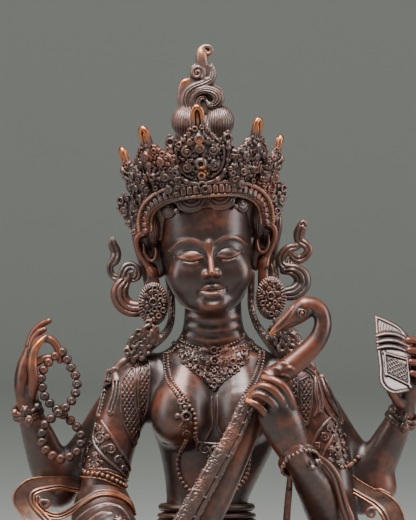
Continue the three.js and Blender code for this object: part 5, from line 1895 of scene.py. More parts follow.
@dataclass
class Lute:
    """A long-necked lute across the body, its neck ending in a goose's neck and head.

    Attributes:
        slope: the neck's direction as x and z.
    """

    slope: tuple[float, float] = (-0.4935, -0.8697)

    def form(self) -> Shell:
        """The round body, the tapering neck, and the goose."""
        clay = Clay((-36, -62, 54), (64, -18, 214), 0.55)
        clay.limb([(35.6, -30, 171.3, 4.6), (28.2, -30, 163.4, 5.2), (23.3, -30, 156.5, 5.8),
            (17.8, -30.5, 143.6, 7.2), (10.4, -31, 128.8, 8.6), (2.5, -31, 113, 9.8), (-4.5, -31, 99.1, 10.8),
            (-8.5, -33, 84, 12.6)], 0)
        clay.ball((-15, -36, 75), (17.5, 14.5, 16.5), blend=4)
        clay.ball((-13, -45, 76), (9.5, 6.5, 9.5), blend=2)
        clay.limb([(31.2, -31, 169.9, 5.4), (39.1, -31, 174.3, 5.6), (44.5, -30.5, 178.8, 5.4),
            (50.5, -30, 184.2, 5.1), (54.5, -29.5, 189.6, 4.7), (56.4, -29, 195.6, 4.4),
            (55.5, -28.5, 201.3, 4.3), (52, -28.5, 204.7, 4.5), (47.8, -29, 205, 4.8)], 1.5, count=60)
        clay.limb([(48, -29, 204, 5.0), (44.6, -29.5, 201.8, 5.5), (40.1, -30, 198.6, 4.3),
            (35.6, -30.8, 195.4, 2.8), (32.6, -31.4, 193.1, 1.8), (30.4, -31.8, 191.4, 0.9)], 1.5, flat=0.8)
        eye = (46, -34.3, 201.6)
        clay.ring(eye, (0, 1, 0), 1.75, 0.38, 0.25).ball(eye, (1.0, 0.8, 1.0), blend=0.15)
        clay.line([(42, 205, 0.3), (41, 202, 0.36), (38.8, 199, 0.36), (36, 196, 0.34), (33, 193.5, 0.26)], 0.1,
                  0.3, Mode.CUT)
        clay.line([(43.5, 197, 0.3), (40.5, 196.2, 0.36), (37.5, 194, 0.36), (34, 192, 0.3)],
            0.1, 0.3, Mode.CUT)
        clay.line([(50, 204, 0.3), (51.5, 202.5, 0.4), (51.5, 200.5, 0.34)], 0.1, 0.3, Mode.CUT)
        leaf = Chasing(clay, Ground(clay.surface().tree()))
        for x, z in ((27.5, 167), (30.5, 170.5), (33.5, 174), (37, 176.5), (30.5, 165.5), (34.5, 168),
                (38, 170.5), (40.5, 174), (28, 172), (33, 177.5)):
            leaf.strand([(x + 2.0, z - 1.0, 0.5), (x + 0.2, z + 0.3, 1.0), (x - 1.8, z + 0.5, 0.8),
                (x - 2.6, z - 0.2, 0.4)], -0.25)
        return clay.surface()

    def board(self) -> Shell:
        """The pebbled fingerboard in two strips, stepped every few frets."""
        clay = Clay((-26, -50, 84), (30, -32, 166), 0.36)
        rows = [(20.7, -36.6, 158.7, 4.0), (16.5, -37.2, 150.8, 4.2), (12.8, -38.2, 142.4, 4.5),
            (3.9, -40.0, 126.7, 4.9), (-4.4, -41.0, 112, 5.2), (-12.3, -41.8, 98.2, 5.5),
            (-19.5, -43.6, 88, 5.4)]
        clay.limb(rows, 0, flat=0.40, normal=(0.1, 1, 0.05), count=40)
        across = np.array([-self.slope[1], 0, self.slope[0]])
        pebbles, chance = 10, np.random.default_rng(7)
        path = smooth_path(rows, 104)
        for p in path:
            for share in np.linspace(-0.92, 0.92, pebbles) + chance.uniform(-0.07, 0.07, pebbles):
                swell = 0.4 * p[3] * math.sqrt(1 - min(share**2, 0.9))
                off = np.array([0, 0.2 - swell, chance.uniform(-0.4, 0.4)])
                place = p[:3] + across * share * p[3] + off
                clay.ball(place, (*chance.uniform(0.45, 0.66, 2), 0.52), blend=0.12)
        rail = path.copy()
        rail[:, :3] += across * (0.5 * path[:, 3:4]) + np.array([0, -1.75, 0])
        rail[:, 3] = 0.5
        clay.limb(rail, 0.3, count=60, mode=Mode.CUT)
        for p in smooth_path(rows, 10)[1:-1]:
            low, high = p[:3] - across * p[3] * 0.96, p[:3] + across * p[3] * 0.86
            middle = p[:3] + across * 0.4 * p[3]
            clay.limb([(*(middle + (0, -1.9, 0)), 0.5), (*(high + (0, -1.0, 0)), 0.6)], 0.3)
            clay.block(high + (0, -0.4, 1.0), (0.8, 1.2, 1.6), turn=(0, 30, 0), soft=0.4)
            clay.limb([(*low, 0.8), (*(low + (0.9, -1.3, -0.2)), 0.6)], 0.4)
            clay.ball(low + (0.4, -0.9, -1.6), (0.9, 1.0, 1.5), turn=(0, 30, 0), blend=0.6)
        return clay.surface()


@dataclass
class PrayerBeads:
    """A string of dimpled beads in a crossed loop, set pitch millimetres apart."""

    pitch: float = 4.55

    def course(self) -> Course:
        """The string's closed course."""
        rows = [(-73.2, 181.5, -0.5), (-69.8, 175, -1), (-66.8, 170, -1.5), (-66, 164.5, -2), (-67.5, 159, -3),
            (-70.5, 155, -3.8), (-74.2, 151.8, -4.2), (-78, 149, -3.8), (-81.5, 146, -2.8), (-83.2, 142, -2),
            (-83.5, 137, -1.6), (-82, 133, -1.6), (-78.8, 130.2, -1.8), (-74.5, 128.2, -2), (-70, 129, -2),
            (-65.8, 132, -1.6), (-64, 136.8, -1), (-64.5, 141.5, -0.4), (-67.2, 145.2, 0.2),
            (-70.8, 148.5, 0.5), (-74.5, 151.5, 0.6), (-78.8, 155, 0.4), (-82, 159, 0), (-83.5, 164.5, -0.4),
            (-83.8, 169.5, -0.6), (-82, 174, -0.6), (-78.5, 178, -0.4)]
        path = smooth_path(rows, 240, closed=True)
        return Course(path[:, [0, 2, 1]], np.array([0, -1.0, 0]), closed=True)

    def build(self, pieces: Pieces, strand: Strand) -> None:
        """Makes the beads and their cord."""
        clay = Clay((-3.0, -3.0, -3.0), (3.0, 3.0, 3.0), 0.27)
        clay.ball((0, 0, 0), (2.35, 2.5, 2.4), blend=0)
        clay.ball((0, 0, 2.7), 1.15, blend=0.3, mode=Mode.CUT).ball((0, 0, 1.5), 0.55, blend=0.1)
        route = self.course()
        strand.along(pieces, "prayer_beads", thinned(clay.surface(), 0.62), [route], self.pitch, gain=0.6)
        loop = np.vstack([route.points, route.points[:1]])
        pieces.add("bead_cord", tube(np.hstack([loop, np.ones((len(loop), 1))]), 7), Wear(2))


@dataclass
class Book:
    """A long book held upright in a strapped and latticed wrapper.

    Attributes:
        lean: how fast it leans back, depth per height.
        level: the height at which it stays in place.
    """

    lean: float = 0.72
    level: float = 181.0

    def place(self, points: np.ndarray) -> np.ndarray:
        """Leans the upright book back."""
        out = points.copy()
        out[:, 1] += self.lean * (points[:, 2] - self.level)
        return out

    def form(self) -> Shell:
        """The boards, the latticed panel, the hatched end and the straps."""
        clay = Clay((78, -10, 154), (108, 10, 204), 0.38)
        body = [(83.8, 199), (88.5, 197.5), (94.5, 194.5), (99.5, 189), (101.5, 181.5), (101, 171.5), (99, 163),
            (91.5, 162), (86.2, 166.5), (85.2, 181.5)]
        clay.plate(body, 3.4)
        for rows in (
                [(83.7, -3.4, 199.1, 0.8), (89.4, -3.4, 196.6, 0.9), (94.9, -3.2, 193.6, 0.9),
                 (99.4, -2.6, 188.6, 1.0)],
                [(84.9, -3.4, 182.6, 0.9), (85.7, -3.4, 174.6, 1.0), (86.2, -3.4, 166.6, 1.0),
                 (91.4, -3.4, 162.1, 1.0), (98.9, -3.0, 163.1, 0.9)],
                [(83.9, -3.6, 198.6, 0.6), (84.1, -3.6, 191.6, 0.6), (84.4, -3.6, 185.1, 0.6)],
                [(83.9, -3.8, 189.6, 0.9), (88.4, -4.2, 190.8, 1.1), (94.4, -3.8, 190.1, 1.1),
                 (99.9, -3, 187.1, 1.0)],
                [(84.1, -3.8, 186.6, 1.0), (89.4, -4.3, 187.6, 1.3), (94.9, -3.9, 186.8, 1.2),
                 (100.4, -3, 184.1, 1.0)],
                [(84.4, -3.8, 183.6, 1.0), (89.4, -4.2, 184.6, 1.1), (95.4, -3.8, 183.6, 1.1),
                 (100.9, -3, 181.1, 0.9)]):
            clay.limb(rows, 0.4)
        panel = np.array([(87.8, 181.2), (99, 178), (99.8, 165.5), (88.5, 171)])
        clay.limb([(x, -4.1, z, 0.65) for x, z in np.repeat(panel, 2, 0)], 0.3, closed=True, count=32)
        top, side = panel[0] - panel[3], panel[2] - panel[3]
        for k in np.linspace(-0.82, 0.82, 9):
            for sign in (-1, 1):
                ends = []
                for u in np.linspace(0, 1, 21):
                    v = u * sign + k + (0.5 - 0.5 * sign)
                    if 0.06 < v < 0.94 and 0.05 < u < 0.95:
                        ends.append(panel[3] + side * u + top * v)
                if len(ends) > 2:
                    thread = (ends[0], ends[len(ends) // 2], ends[-1])
                    clay.limb([(x, -3.7, z, 0.28) for x, z in thread], 0.15)
        for i in range(7):
            clay.limb([(84.4 + i * 1.45, -3.6, 197.6 - i * 0.9, 0.2),
                (84.6 + i, -3.6, 192 - i * 0.25, 0.24)], 0.15)
        return clay.surface(self.place)


@dataclass
class Scarves:
    """The scarf that wraps the elbows and flies out in folded ends, and its hanging ribbons."""

    def left(self) -> Shell:
        """The wrap over the near elbow and the flaring end beside it."""
        clay = Clay((-106, -46, 52), (-30, 22, 126), 0.55)
        clay.limb([(-53, 2, 107.4, 12.5), (-53, -1, 101.6, 15.2), (-52.4, -8, 94.9, 15.8), (-47, -21, 89, 14),
            (-43, -29, 85, 11.5)], 0)
        rows = spiral((-81.5, 0, 106.2), 2.4, 1.25, 150, 1.15, 0.3, 16)
        rows[:, 1] = -6.5
        clay.limb(rows, 0.4, count=30)
        clay.limb([(-86.3, -5.5, 105.8, 0.7), (-84.3, -6.5, 106.6, 0.8), (-82.8, -6.5, 107.6, 0.9)], 0.4)
        chase = Chasing(clay, Ground(clay.surface().tree()))
        chase.rosette(-44, 99.2, 3.0, 7)
        for rows in (
                [(-39, 99, 0.6), (-43.5, 104.5, 0.8), (-50.5, 106.5, 0.9), (-57.5, 104.5, 0.9),
                 (-63.5, 100.5, 0.9), (-67.5, 96.5, 0.7)],
                [(-48.5, 102.5, 0.5), (-53.5, 102.5, 0.6), (-58.5, 99.5, 0.6), (-62.5, 95.5, 0.5)]):
            chase.strand(rows, -0.1, 24)
        return clay.surface()

    def hem(self) -> Shell:
        """The rolled triple hem that runs over the near elbow and out along the flying end."""
        ground = Ground(self.left().tree())
        rows, face = [], []
        for x, z in ((-37.5, 101), (-40, 106.5), (-47, 110.8), (-55, 111), (-62, 107.2)):
            point, normal = ground.drop(x, z, 0.2)
            rows.append((*point, 2.2, 0.9))
            face.append(normal)
        for x, y, z in ((-68.8, -9, 102.5), (-75.3, -8, 99.7), (-81.3, -7, 101.1), (-85.3, -6.5, 104.8),
                (-86.1, -6, 109.3)):
            rows.append((x, y, z, 1.9, 0.9))
            face.append((0.1, -1.0, 0.2))
        profile = [(-1, -0.9), (1, -0.9), (1, 0.5), (0.85, 0.95), (0.62, 0.95), (0.45, 0.2), (0.28, 0.2),
            (0.1, 0.8), (-0.1, 0.8), (-0.28, 0.2), (-0.45, 0.2), (-0.62, 1.2), (-0.88, 1.2), (-1, 0.5)]
        return sweep(rows, profile, np.array(face), count=90)

    def cloth(self, rows: Rows, facing: Sequence[float]) -> Shell:
        """A flat strip of cloth with a rolled outer edge and two ridges along its inner one.

        Args:
            rows: x, y, z and half-width.
            facing: the way its face looks.
        """
        profile = [(-1, -0.7), (1, -0.7), (1.0, 0.6), (0.94, 0.8), (0.88, 0.45)]
        profile += [(x, 0.42) for x in np.linspace(0.8, -0.12, 9)]
        profile += [(-0.24, 0.38), (-0.34, 0.5), (-0.42, 1.15), (-0.52, 1.15), (-0.6, 0.5), (-0.68, 0.5),
            (-0.76, 1.3), (-0.9, 1.3), (-1, 0.4)]
        return sweep([(*row, 1) for row in rows], profile, facing, count=len(rows) * 7)

    def fall(self) -> Shell:
        """The two flying ends, flat across and folded down towards the base."""
        near = self.cloth([(-58.7, 8, 113.6, 2.6), (-66.6, 5, 114.3, 3.2), (-74, 1, 116, 3.4),
            (-80.4, -2, 115.6, 3.6), (-86.4, -4, 114.7, 4.4), (-90.3, -5, 112.5, 4.9), (-92.1, -6, 108.3, 6.1),
            (-90, -7, 103.4, 5.2), (-85.2, -9, 98, 5.2), (-79.7, -12, 92.1, 5.2), (-74.1, -15, 83.4, 5.0),
            (-71.1, -18, 70.6, 4.6), (-70, -20, 56.8, 3.0)], (0.22, -1, 0.2))
        far = self.cloth([(91.2, -10, 56.2, 3.0), (89.1, -12, 68.2, 4.8), (89.7, -11, 80.1, 5.4),
            (92.7, -10, 90, 5.6), (92.2, -9, 98, 5.6), (89.3, -7, 103.9, 5.4), (84.9, -4, 107.7, 4.6),
            (79.5, -1, 110.5, 3.9), (73.5, 2, 113.9, 3.9), (67.6, 4, 117.8, 4.2), (62.6, 6, 121.7, 3.6)],
            (-0.2, -1, 0.2))
        return near + far + self.hem()

    def right(self) -> Shell:
        """The end that flies out behind the far elbow."""
        clay = Clay((60, -34, 52), (110, 22, 124), 0.55)
        clay.limb([(56.7, 12, 122, 5.0), (63.8, 12, 120, 4.4), (71.7, 10, 118, 3.4), (77.7, 7, 114.2, 2.4)],
            1, flat=0.6, normal=(0.2, 1, -0.4))
        clay.limb([(81.4, -5, 112.2, 0.5), (85.3, -7, 113.1, 0.7), (90.2, -8.5, 110.9, 0.6)], 0.5)
        rows = spiral((81.2, 0, 101.2), 2.5, 1.2, 60, 1.2, 0.3, 16)
        rows[:, 1] = -6.5
        clay.limb(rows, 0.4, count=30)
        return clay.surface()

    def ribbons(self) -> Shell:
        """The strap over the near forearm and the riveted one behind it."""
        clay = Clay((34, -40, 46), (78, -2, 132), 0.5)
        clay.lock([(53.5, -30, 130.7, 1.3), (58.9, -29, 126.2, 2.0), (62.9, -27, 120.2, 2.3),
            (65, -25, 113.7, 2.5), (67, -22, 106.1, 2.6), (70, -20, 97.5, 2.8), (71.6, -18, 84.5, 3.0),
            (71.6, -18, 68.6, 3.0), (71, -20, 52.8, 2.4)], 1, 0.5, 0.5, 0.5, 0)
        clay.limb([(40.2, -20, 121.4, 1.3), (39.8, -17, 113.3, 1.7), (39.1, -15, 105.2, 1.8),
            (38.6, -14, 96.2, 1.9), (38.3, -14, 80.3, 2.0), (39.2, -20, 62.8, 2.0)], 0, flat=0.55)
        for i in range(8):
            clay.ball((39.5 - 0.25 * i, -18.6 + 0.3 * i, 113.5 - 4.5 * i), 0.62, blend=0.2)
        return clay.surface()


@dataclass
class Jewellery:
    """Necklaces, belts, armlets, bangles and the latticed sleeves, laid on the body."""

    ground: Ground

    def strings(self, pieces: Pieces, strand: Strand) -> None:
        """The strung beads."""
        g = self.ground
        bead = lathe([(0, -0.95), (0.7, -0.72), (1.0, 0), (0.7, 0.72), (0, 0.95)], 10)
        left = np.array([(-21.5, 187.5), (-21.5, 179), (-20, 168.5), (-15.8, 162), (-11.5, 157)])
        right = np.array([(26.5, 188.5), (26.5, 180.5), (25, 173.5), (22.5, 167), (18, 159), (15, 153)])
        courses = [g.lay(rows + sign * np.array([1.1, slant]), 0.35)
                   for rows, slant in ((left, 0.35), (right, -0.35)) for sign in (-1, 1)]
        strand.along(pieces, "bead_strings", Shell(bead.points * 0.93, bead.faces), courses, 1.62, gain=0.5)
        large = Shell(bead.points * 1.2, bead.faces)
        loops = [g.lay(rows, 0.5) for rows in (
            [(-11.5, 138), (-13.8, 133), (-15.2, 127.5), (-15, 122.5), (-13.5, 117.5), (-11, 114),
             (-7.8, 110.8)],
            [(-9.8, 154.8), (-7.5, 151), (-6.9, 145.5), (-7.3, 140.5), (-6, 137)],
            [(15, 152), (14.2, 149), (14, 147)],
            [(20, 130), (19.5, 125), (18.5, 120), (16, 116), (13.8, 113)])]
        strand.along(pieces, "bead_loops", large, loops, 2.35, gain=0.5)
        neck = [g.lay([(-18.5, 191), (-14.5, 187), (-8.5, 184.5), (-2, 183), (4.5, 183.5), (11.5, 185.5),
            (18, 189), (22.5, 192.5)], 0.4)]
        strand.along(pieces, "collar_beads", Shell(bead.points * 0.85, bead.faces), neck, 1.6, gain=0.5)

    def collar(self) -> Shell:
        """The three-cornered scrollwork pendant and its jewels."""
        chase = Chasing(Clay((-22, -27, 158), (28, 8, 196), 0.34), self.ground)
        top = [(21.5, 187), (15.5, 184), (9.5, 182.2), (2.5, 181.2), (-4.5, 181.8), (-11.5, 183.2),
            (-18.5, 187)]
        left = [(-16, 183.5), (-12.5, 176.5), (-9, 173.5), (-5.5, 171), (-1, 167), (2.9, 163.2)]
        right = [(6.5, 167), (10.5, 170), (14.5, 172.8), (19, 178.5)]
        outline = top + left + right
        edge = np.array(outline)
        for x in np.arange(edge[:, 0].min(), edge[:, 0].max(), 1.25):
            for z in np.arange(edge[:, 1].min(), edge[:, 1].max(), 1.25):
                if within(edge, x, z):
                    chase.boss(x, z, 1.5, -0.75, 0.9)
        jewels = ((-2.3, 181.8, 2.6), (8.3, 182, 2.6), (2.6, 182.5, 2.3), (2.5, 176.8, 2.8), (2.8, 171.8, 1.1),
                  (3, 166.8, 1.6), (-6.7, 176.2, 1.9), (11.9, 177, 1.9), (-13.5, 181.2, 1.7), (18.2, 182, 1.7))
        for i, (x, z, r) in enumerate(jewels):
            chase.boss(x, z, r, 0.3, 0.6) if i < 2 else chase.jewel(x, z, r, 1.1)
            if i < 2:
                chase.ring(x, z, r, 0.4, 0.4).boss(x, z, r * 0.5, 1.5)
        for s, corner in ((1, -16.2), (-1, 21)):
            for along, z, r in ((3.6, 182, 2.4), (6.8, 180.2, 2.6), (9.8, 176.5, 2.2), (13.2, 171.8, 1.7)):
                x = corner + s * along
                chase.strand([(x - s * r * 0.4, z + r, 0.35), (x + s * r * 0.5, z + r * 0.3, 0.6),
                    (x + s * r * 0.3, z - r * 0.8, 0.65), (x - s * r * 0.5, z - r, 0.5),
                    (x - s * r * 0.5, z - r * 0.3, 0.4)], 0.8)
        lower = [outline[0]] + right[::-1] + left[::-1] + [outline[6]]
        chase.strand([(x, z, 0.5) for x, z in outline[:7]], 0.5)
        chase.fill(outline, (1.4, 1.1, 0.85, 0.6), 71, 0.6, [(x, z, r * 0.9) for x, z, r in jewels], 500)
        for (x, z), (u, v) in zip(lower[:-1], lower[1:]):
            for t in (0.0, 0.5):
                chase.jewel(x + (u - x) * t, z + (v - z) * t, 1.25, 0.3)
        chase.jewel(3, 164.8, 1.8, 0.8)
        return chase.clay.surface()

    def belt(self) -> Shell:
        """The band and flowers under the bosom, the breast rosette and the rolled waistband."""
        chase = Chasing(Clay((-30, -30, 92), (34, 30, 164), 0.4), self.ground)
        for rows in (
                [(-23, 136, 0.5), (-18.5, 134.8, 0.6), (-12.5, 134.5, 0.6)],
                [(8.5, 135, 0.6), (15.5, 134, 0.6), (23.5, 135.5, 0.5)],
                [(1.5, 159, 0.4), (1.4, 152, 0.55), (1.8, 145.5, 0.6), (-0.5, 140.5, 0.6), (-3, 136.5, 0.6)],
                [(4.2, 160, 0.4), (4.5, 152, 0.55), (4.3, 145.5, 0.6), (6.5, 140.5, 0.6), (9.5, 136.5, 0.6)],
                [(-6.5, 137, 0.6), (-3.5, 136.3, 0.8), (1.5, 135.7, 0.9), (6.5, 135.5, 0.8)]):
            chase.strand(rows, 0.1, 18)
        for x, z, r in ((-11.5, 149.8, 2.9), (2.8, 132.3, 2.9)):
            chase.boss(x, z, r, 0.0, 0.7).jewel(x, z, r, 1.2)
        chase.boss(-15.5, 149.8, 1.8, 0.4).boss(6.2, 131.5, 1.2, 0.3)
        for x, z, r, turns, start, thick in (
                (-12.2, 154, 2.6, 1.3, 20, 0.7), (-14.2, 157.3, 2.0, -1.2, 60, 0.6),
                (-12.6, 144.8, 1.9, 1.2, 90, 0.6), (-11.1, 141.2, 1.8, -1.2, 200, 0.6),
                (-1.8, 133.2, 2.9, 1.3, 90, 0.75), (-5.2, 135.3, 1.7, -1.2, 20, 0.6),
                (-6.5, 112.8, 1.8, 1.2, 90, 0.6)):
            chase.scroll(x, z, r, turns, start, thick, 0.5)
        chase.boss(-9.5, 146.8, 1.0, 0.3).boss(-13, 147.2, 0.9, 0.3)
        chase.boss(-6, 133, 1.0, 0.3).boss(0, 129.5, 0.9, 0.2)
        clay, count = chase.clay, 40
        a = np.linspace(0, 2 * math.pi, count, endpoint=False)
        for z, grow, r in ((103.4, 1.8, 1.9), (99.2, 3.0, 1.2), (96.4, 3.6, 1.0)):
            clay.limb(np.stack([-1.2 + (20.6 + grow) * np.cos(a), 11 + (14.4 + grow) * np.sin(a),
                np.full(count, z), np.full(count, r)], 1), 0.8, closed=True, count=2 * count)
        return clay.surface()

    def lattice(self, chase: Chasing, outline: Rows) -> None:
        """Crossing raised threads inside an outline of x, z."""
        pitch, radius, slant = 1.75, 0.34, 58.0
        edge = np.array(outline, float)
        centre, reach = edge.mean(0), np.ptp(edge, axis=0).max()
        for sign in (-1, 1):
            a = math.radians(slant * sign)
            along, side = np.array([math.cos(a), math.sin(a)]), np.array([-math.sin(a), math.cos(a)])
            for k in np.arange(-reach, reach, pitch):
                run = [centre + side * k + along * t for t in np.arange(-reach, reach, 0.8)]
                run = [p for p in run if within(edge, *p)]
                if len(run) > 1:
                    chase.strand([(*p, radius) for p in run[::3] + run[-1:]], 0.12, max(len(run), 4))
        rim = np.vstack([edge, edge[:1]])
        chase.strand([(x, z, radius * 1.9) for x, z in rim], 0.1, len(edge) * 5)

    def sleeves(self) -> list[Shell]:
        """The latticed cloth at both shoulders."""
        left = Chasing(Clay((-50, -22, 130), (-24, 16, 182), 0.36), self.ground)
        self.lattice(left, [(-43.5, 167), (-37.5, 173.5), (-36.8, 156.5), (-35, 147), (-36, 134), (-40, 141),
            (-43.5, 150.5)])
        self.lattice(left, [(-34.8, 176.5), (-30, 176.5), (-30, 161.5), (-31, 153.5), (-33.5, 147.5),
            (-35.2, 156.5)])
        right = Chasing(Clay((36, -24, 134), (66, 16, 182), 0.36), self.ground)
        self.lattice(right, [(45.5, 167.5), (50.5, 168.5), (51.2, 156.5), (49, 145), (46.2, 150.5)])
        self.lattice(right, [(41, 168), (44.5, 169.5), (44.8, 158.5), (45.5, 152.5), (42, 158.5)])
        for rows in (
                ((53, 171.5, 0.9), (53.5, 161.5, 1.3), (54.5, 153.5, 1.1), (52.5, 149.5, 0.6)),
                ((56.5, 167.5, 1.2), (59.5, 158.5, 1.8), (64, 150.5, 1.8), (68, 142.5, 1.6),
                 (71.5, 134.5, 1.2)),
                ((54.5, 163.5, 0.7), (57.5, 154.5, 1.0), (61.5, 148.5, 0.9), (64.5, 145.5, 0.6))):
            right.strand(rows, 0.3, 24)
        return [left.clay.surface(), right.clay.surface()]

    def armlets(self) -> list[Shell]:
        """The scrolled armlets with their flower clusters, on both near arms."""
        left = Chasing(Clay((-72, -24, 106), (-36, 20, 154), 0.38), self.ground)
        left.strand([(-53.5, 147, 0.8), (-48.5, 139.5, 0.9), (-44, 132, 0.9), (-40, 124, 0.8),
            (-40.5, 118.5, 0.7)], 0.3, 24)
        left.strand([(-56.5, 145.5, 0.7), (-57.5, 137, 0.9), (-53, 130, 0.9), (-47.5, 125, 0.8),
            (-41.8, 119, 0.7)], 0.3, 24)
        for x, z, r, turns, start in ((-54.2, 138.5, 3.0, 1.5, 60), (-49, 133, 2.8, -1.5, 200),
                (-45.2, 127.8, 2.0, 1.3, 60), (-42.2, 123.5, 1.5, -1.3, 200), (-55.5, 143.5, 1.5, -1.2, 90),
                (-51, 139, 1.1, 1.2, 0), (-52, 134, 1.0, 1.2, 180)):
            left.scroll(x, z, r, turns, start, 0.72)
        left.strand([(-56, 131, 0.5), (-55.5, 123.5, 0.7), (-50.5, 123, 0.7), (-44, 120.5, 0.5)], 0.2, 18)
        flowers = ((-59, 136.5, 2.3), (-61, 132, 2.4), (-57, 129.5, 2.3), (-62.5, 127.5, 2.1), (-60, 124, 2.2),
            (-64.2, 124.5, 1.8))
        for x, z, r in flowers:
            left.rosette(x, z, r, 7)
        left.fill([(-63.5, 132.5), (-58.5, 140.5), (-55, 134.5), (-52.5, 126.5), (-54.5, 121), (-65.5, 122.5)],
            (1.4, 1.0, 0.7), 81, 0.2, flowers)
        right = Chasing(Clay((46, -22, 112), (80, 22, 156), 0.38), self.ground)
        right.strand([(62, 150, 0.7), (57.5, 145.5, 0.8), (53.5, 139.5, 0.8), (51.5, 134, 0.6)], 0.3, 20)
        right.strand([(64.5, 147, 0.7), (62.5, 140.5, 0.8), (59, 134.5, 0.8), (56.5, 129.5, 0.6)], 0.3, 20)
        for x, z, r, turns, start in ((60.5, 143.5, 2.2, 1.4, 0), (57.5, 139, 2.2, -1.4, 120),
                (54, 134.5, 1.8, 1.3, 60), (63, 147.5, 1.3, 1.2, 20)):
            right.scroll(x, z, r, turns, start, 0.65)
        flowers = ((65, 142.5, 2.2), (62.5, 138, 2.4), (67, 136, 2.3), (61, 133, 2.2), (64.5, 130, 2.4),
            (68, 129.5, 2.1), (66, 125, 2.2), (60.5, 127.5, 1.8))
        for x, z, r in flowers:
            right.rosette(x, z, r, 7)
        right.fill([(63.5, 145.5), (67.5, 139.5), (70, 131.5), (68.5, 124.5), (62.5, 126), (59, 131.5),
            (60.5, 138.5)], (1.4, 1.0, 0.7), 82, 0.2, flowers)
        return [left.clay.surface(), right.clay.surface()]

    def bangles(self) -> Shell:
        """Ridged bangles with flowers and drops at all four wrists."""
        clay = Clay((-102, -58, 76), (108, 18, 164), 0.5)
        beads = 26
        rounds = (((-91.2, 6.8, 152.5), (-0.27, -0.35, 0.92), 6.9, 1.2),
                  ((44, -31.5, 129.3), (-0.42, 0.62, 0.82), 9.2, 1.1),
                  ((97, 6.8, 149.3), (0.42, -0.35, 0.85), 7.2, 1.2),
                  ((-38, -39.5, 85.5), (0.62, -0.8, 0), 7.8, 1.2))
        for centre, normal, radius, thick in rounds:
            c, n = np.array(centre), unit(np.array([normal]))[0]
            clay.ring(c + n * 0.9, n, radius, thick, 0.3).ring(c - n * 1.3, n, radius * 1.04, thick * 0.7, 0.3)
            side = unit(np.cross(n, (0, 1, 0))[None])[0]
            front = np.cross(n, side)
            for i in range(beads):
                a = 2 * math.pi * i / beads
                clay.ball(c - n * 2.9 + radius * 1.06 * (math.cos(a) * side + math.sin(a) * front),
                    1.0, blend=0.15)
        for (x, y, z), r in (
                ((-92, -0.2, 152.5), 2.1), ((-97.3, 2, 151.2), 1.6), ((-86, 1, 154.5), 1.5),
                ((97.5, -0.6, 149), 2.0), ((91.5, 1, 152), 1.5), ((102.6, 2, 145.9), 1.5),
                ((53.8, -36, 127.5), 2.0), ((51.3, -38, 125.1), 1.5)):
            for i in range(6):
                a = math.pi * i / 3
                clay.ball((x + r * 0.8 * math.cos(a), y - 0.6, z + r * 0.8 * math.sin(a)), r * 0.42, blend=0.2)
            clay.ball((x, y - 1.0, z), r * 0.55, blend=0.2)
        for x, y, z, r in ((-90, -0.6, 147, 2.3), (97.7, -1.2, 143.5, 2.4)):
            clay.ball((x, y, z), (r, 1.0, r * 1.3), blend=0.2)
            clay.ring((x, y - 0.7, z), (0, 1, 0), r * 0.6, 0.35, 0.2).ball((x, y - 1, z), r * 0.32, blend=0.1)
        return clay.surface()

    def bands(self, pieces: Pieces, strand: Strand) -> None:
        """The bead bands under the armlets."""
        bead = lathe([(0, -1.15), (0.85, -0.85), (1.25, 0), (0.85, 0.85), (0, 1.15)], 11)
        g = self.ground
        rows = [g.lay(flat, 0.5) for flat in (
            [(-61.5, 121.5), (-58.5, 121), (-55, 120.8), (-50.5, 119.5), (-46, 117.2), (-42, 114.5)],
            [(66, 124), (69, 124.5), (72, 126), (74.8, 128.5)])]
        strand.along(pieces, "armlet_beads", bead, rows, 2.45, gain=0.8)
        ring = lathe([(0, -0.5), (0.55, -0.3), (0.6, 0.3), (0, 0.5)], 6)
        edge = [g.lay(flat, 0.2) for flat in (
            [(-64, 119), (-58.5, 118.8), (-54.5, 118.5), (-50.5, 117.2), (-46, 115), (-41, 112)],
            [(-60.5, 123.5), (-55, 122.8), (-50.5, 121.8), (-46, 119.8), (-41, 117)])]
        strand.along(pieces, "armlet_edges", ring, edge, 0.9)


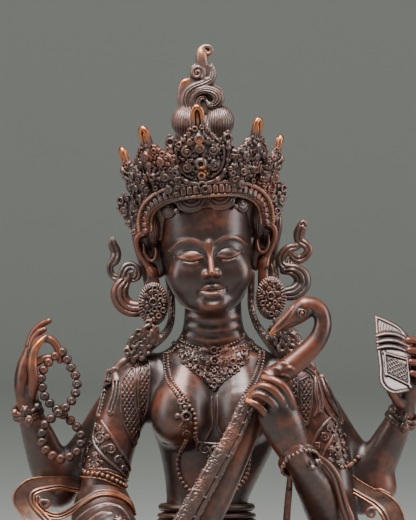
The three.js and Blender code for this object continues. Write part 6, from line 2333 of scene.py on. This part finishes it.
def main() -> None:
    """Builds every piece in order and sets up the view."""
    logging.basicConfig(level=logging.INFO, format="%(message)s")
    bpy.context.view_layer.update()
    finishes = {Part.FIGURE: Patina("patina").build(), Part.BASE: Patina("base_patina").build()}
    rub = Rub([(27.5, -41, 167, 4.5), (21, -43, 163.5, 4), (19.5, -44, 159, 4), (19, -45, 157, 3.5),
        (31, -32, 190.5, 4), (-3, 5, 331, 5), (-13, 4, 317, 4), (-85, -2.5, 185, 5), (-88, -2.5, 177, 4),
        (-2.5, -24.5, 272, 3.6), (-5, -28.3, 286, 3), (-3.6, -27, 279, 2.4)])
    pieces = Pieces(finishes, rub)
    strand = Strand()
    torso = Torso().form()
    ground = Ground(torso.tree())
    head = Head()
    Crown(head).build(pieces, strand)
    hair = Hair(head)
    pieces.add("torso", torso, Wear(14, gain=0.3, extra=0.12, broad=30, budget=52))
    pieces.add("head", head.form(), Wear(gain=0.26, extra=0.12, broad=30, budget=60))
    # The greyish bloom given to some pieces below is partly dust and partly painted sheen, strongest on the
    # topknot.
    pieces.add("hair_brow", hair.brow(), Wear(6, gain=1.3, budget=26, dust=0.1))
    pieces.add("hair_behind", hair.behind(), Wear(8, budget=22, dust=0.15))
    pieces.add("topknot", hair.topknot(), Wear(7, gain=1.7, budget=44, dust=0.38))
    pieces.add("hair_shoulders", hair.shoulders(ground), Wear(8, budget=12, dust=0.15))
    jewels = Earrings()
    pieces.add("earrings", jewels.form(), Wear(6, gain=1.5, budget=46))
    pieces.add("ribbons", jewels.ribbons(), Wear(8, budget=20, dust=0.1))
    hands = Hands()
    for name, form, budget in (("hand_beads", hands.beads, 18), ("hand_book", hands.holding, 14),
            ("hand_stopping", hands.stopping, 22), ("hand_plucking", hands.plucking, 6)):
        pieces.add(name, form(), Wear(gain=0.5, broad=20, budget=budget))
    lute = Lute()
    pieces.add("lute", lute.form(), Wear(gain=0.5, broad=20, budget=30))
    pieces.add("lute_board", lute.board(), Wear(5, gain=0.8, budget=58, dust=0.2))
    PrayerBeads().build(pieces, strand)
    pieces.add("book", Book().form(), Wear(8, budget=20))
    scarves = Scarves()
    pieces.add("scarf_left", scarves.left(), Wear(8, broad=20, budget=20))
    pieces.add("scarf_right", scarves.right(), Wear(8, broad=20, budget=10, dust=0.1))
    pieces.add("scarf_ends", scarves.fall(), Wear(3, gain=0.8, extra=0.42))
    pieces.add("scarf_ribbons", scarves.ribbons(), Wear(8, broad=20, budget=8))
    jewellery = Jewellery(ground)
    jewellery.strings(pieces, strand)
    jewellery.bands(pieces, strand)
    pieces.add("collar", jewellery.collar(), Wear(5, gain=1.5, budget=38))
    pieces.add("belts", jewellery.belt(), Wear(6, gain=1.2, budget=24))
    pieces.add("bangles", jewellery.bangles(), Wear(6, budget=22))
    for side, shell in zip(("left", "right"), jewellery.sleeves()):
        pieces.add("sleeve_" + side, shell, Wear(5, gain=1.3, budget=17))
    for side, shell in zip(("left", "right"), jewellery.armlets()):
        pieces.add("armlet_" + side, shell, Wear(6, gain=1.3, budget=22))
    pieces.add("legs", Legs().form(), Wear(gain=0.6, broad=20, budget=24))
    LotusBase().build(pieces, strand)
    Studio().build()


if __name__ == "__main__":
    main()
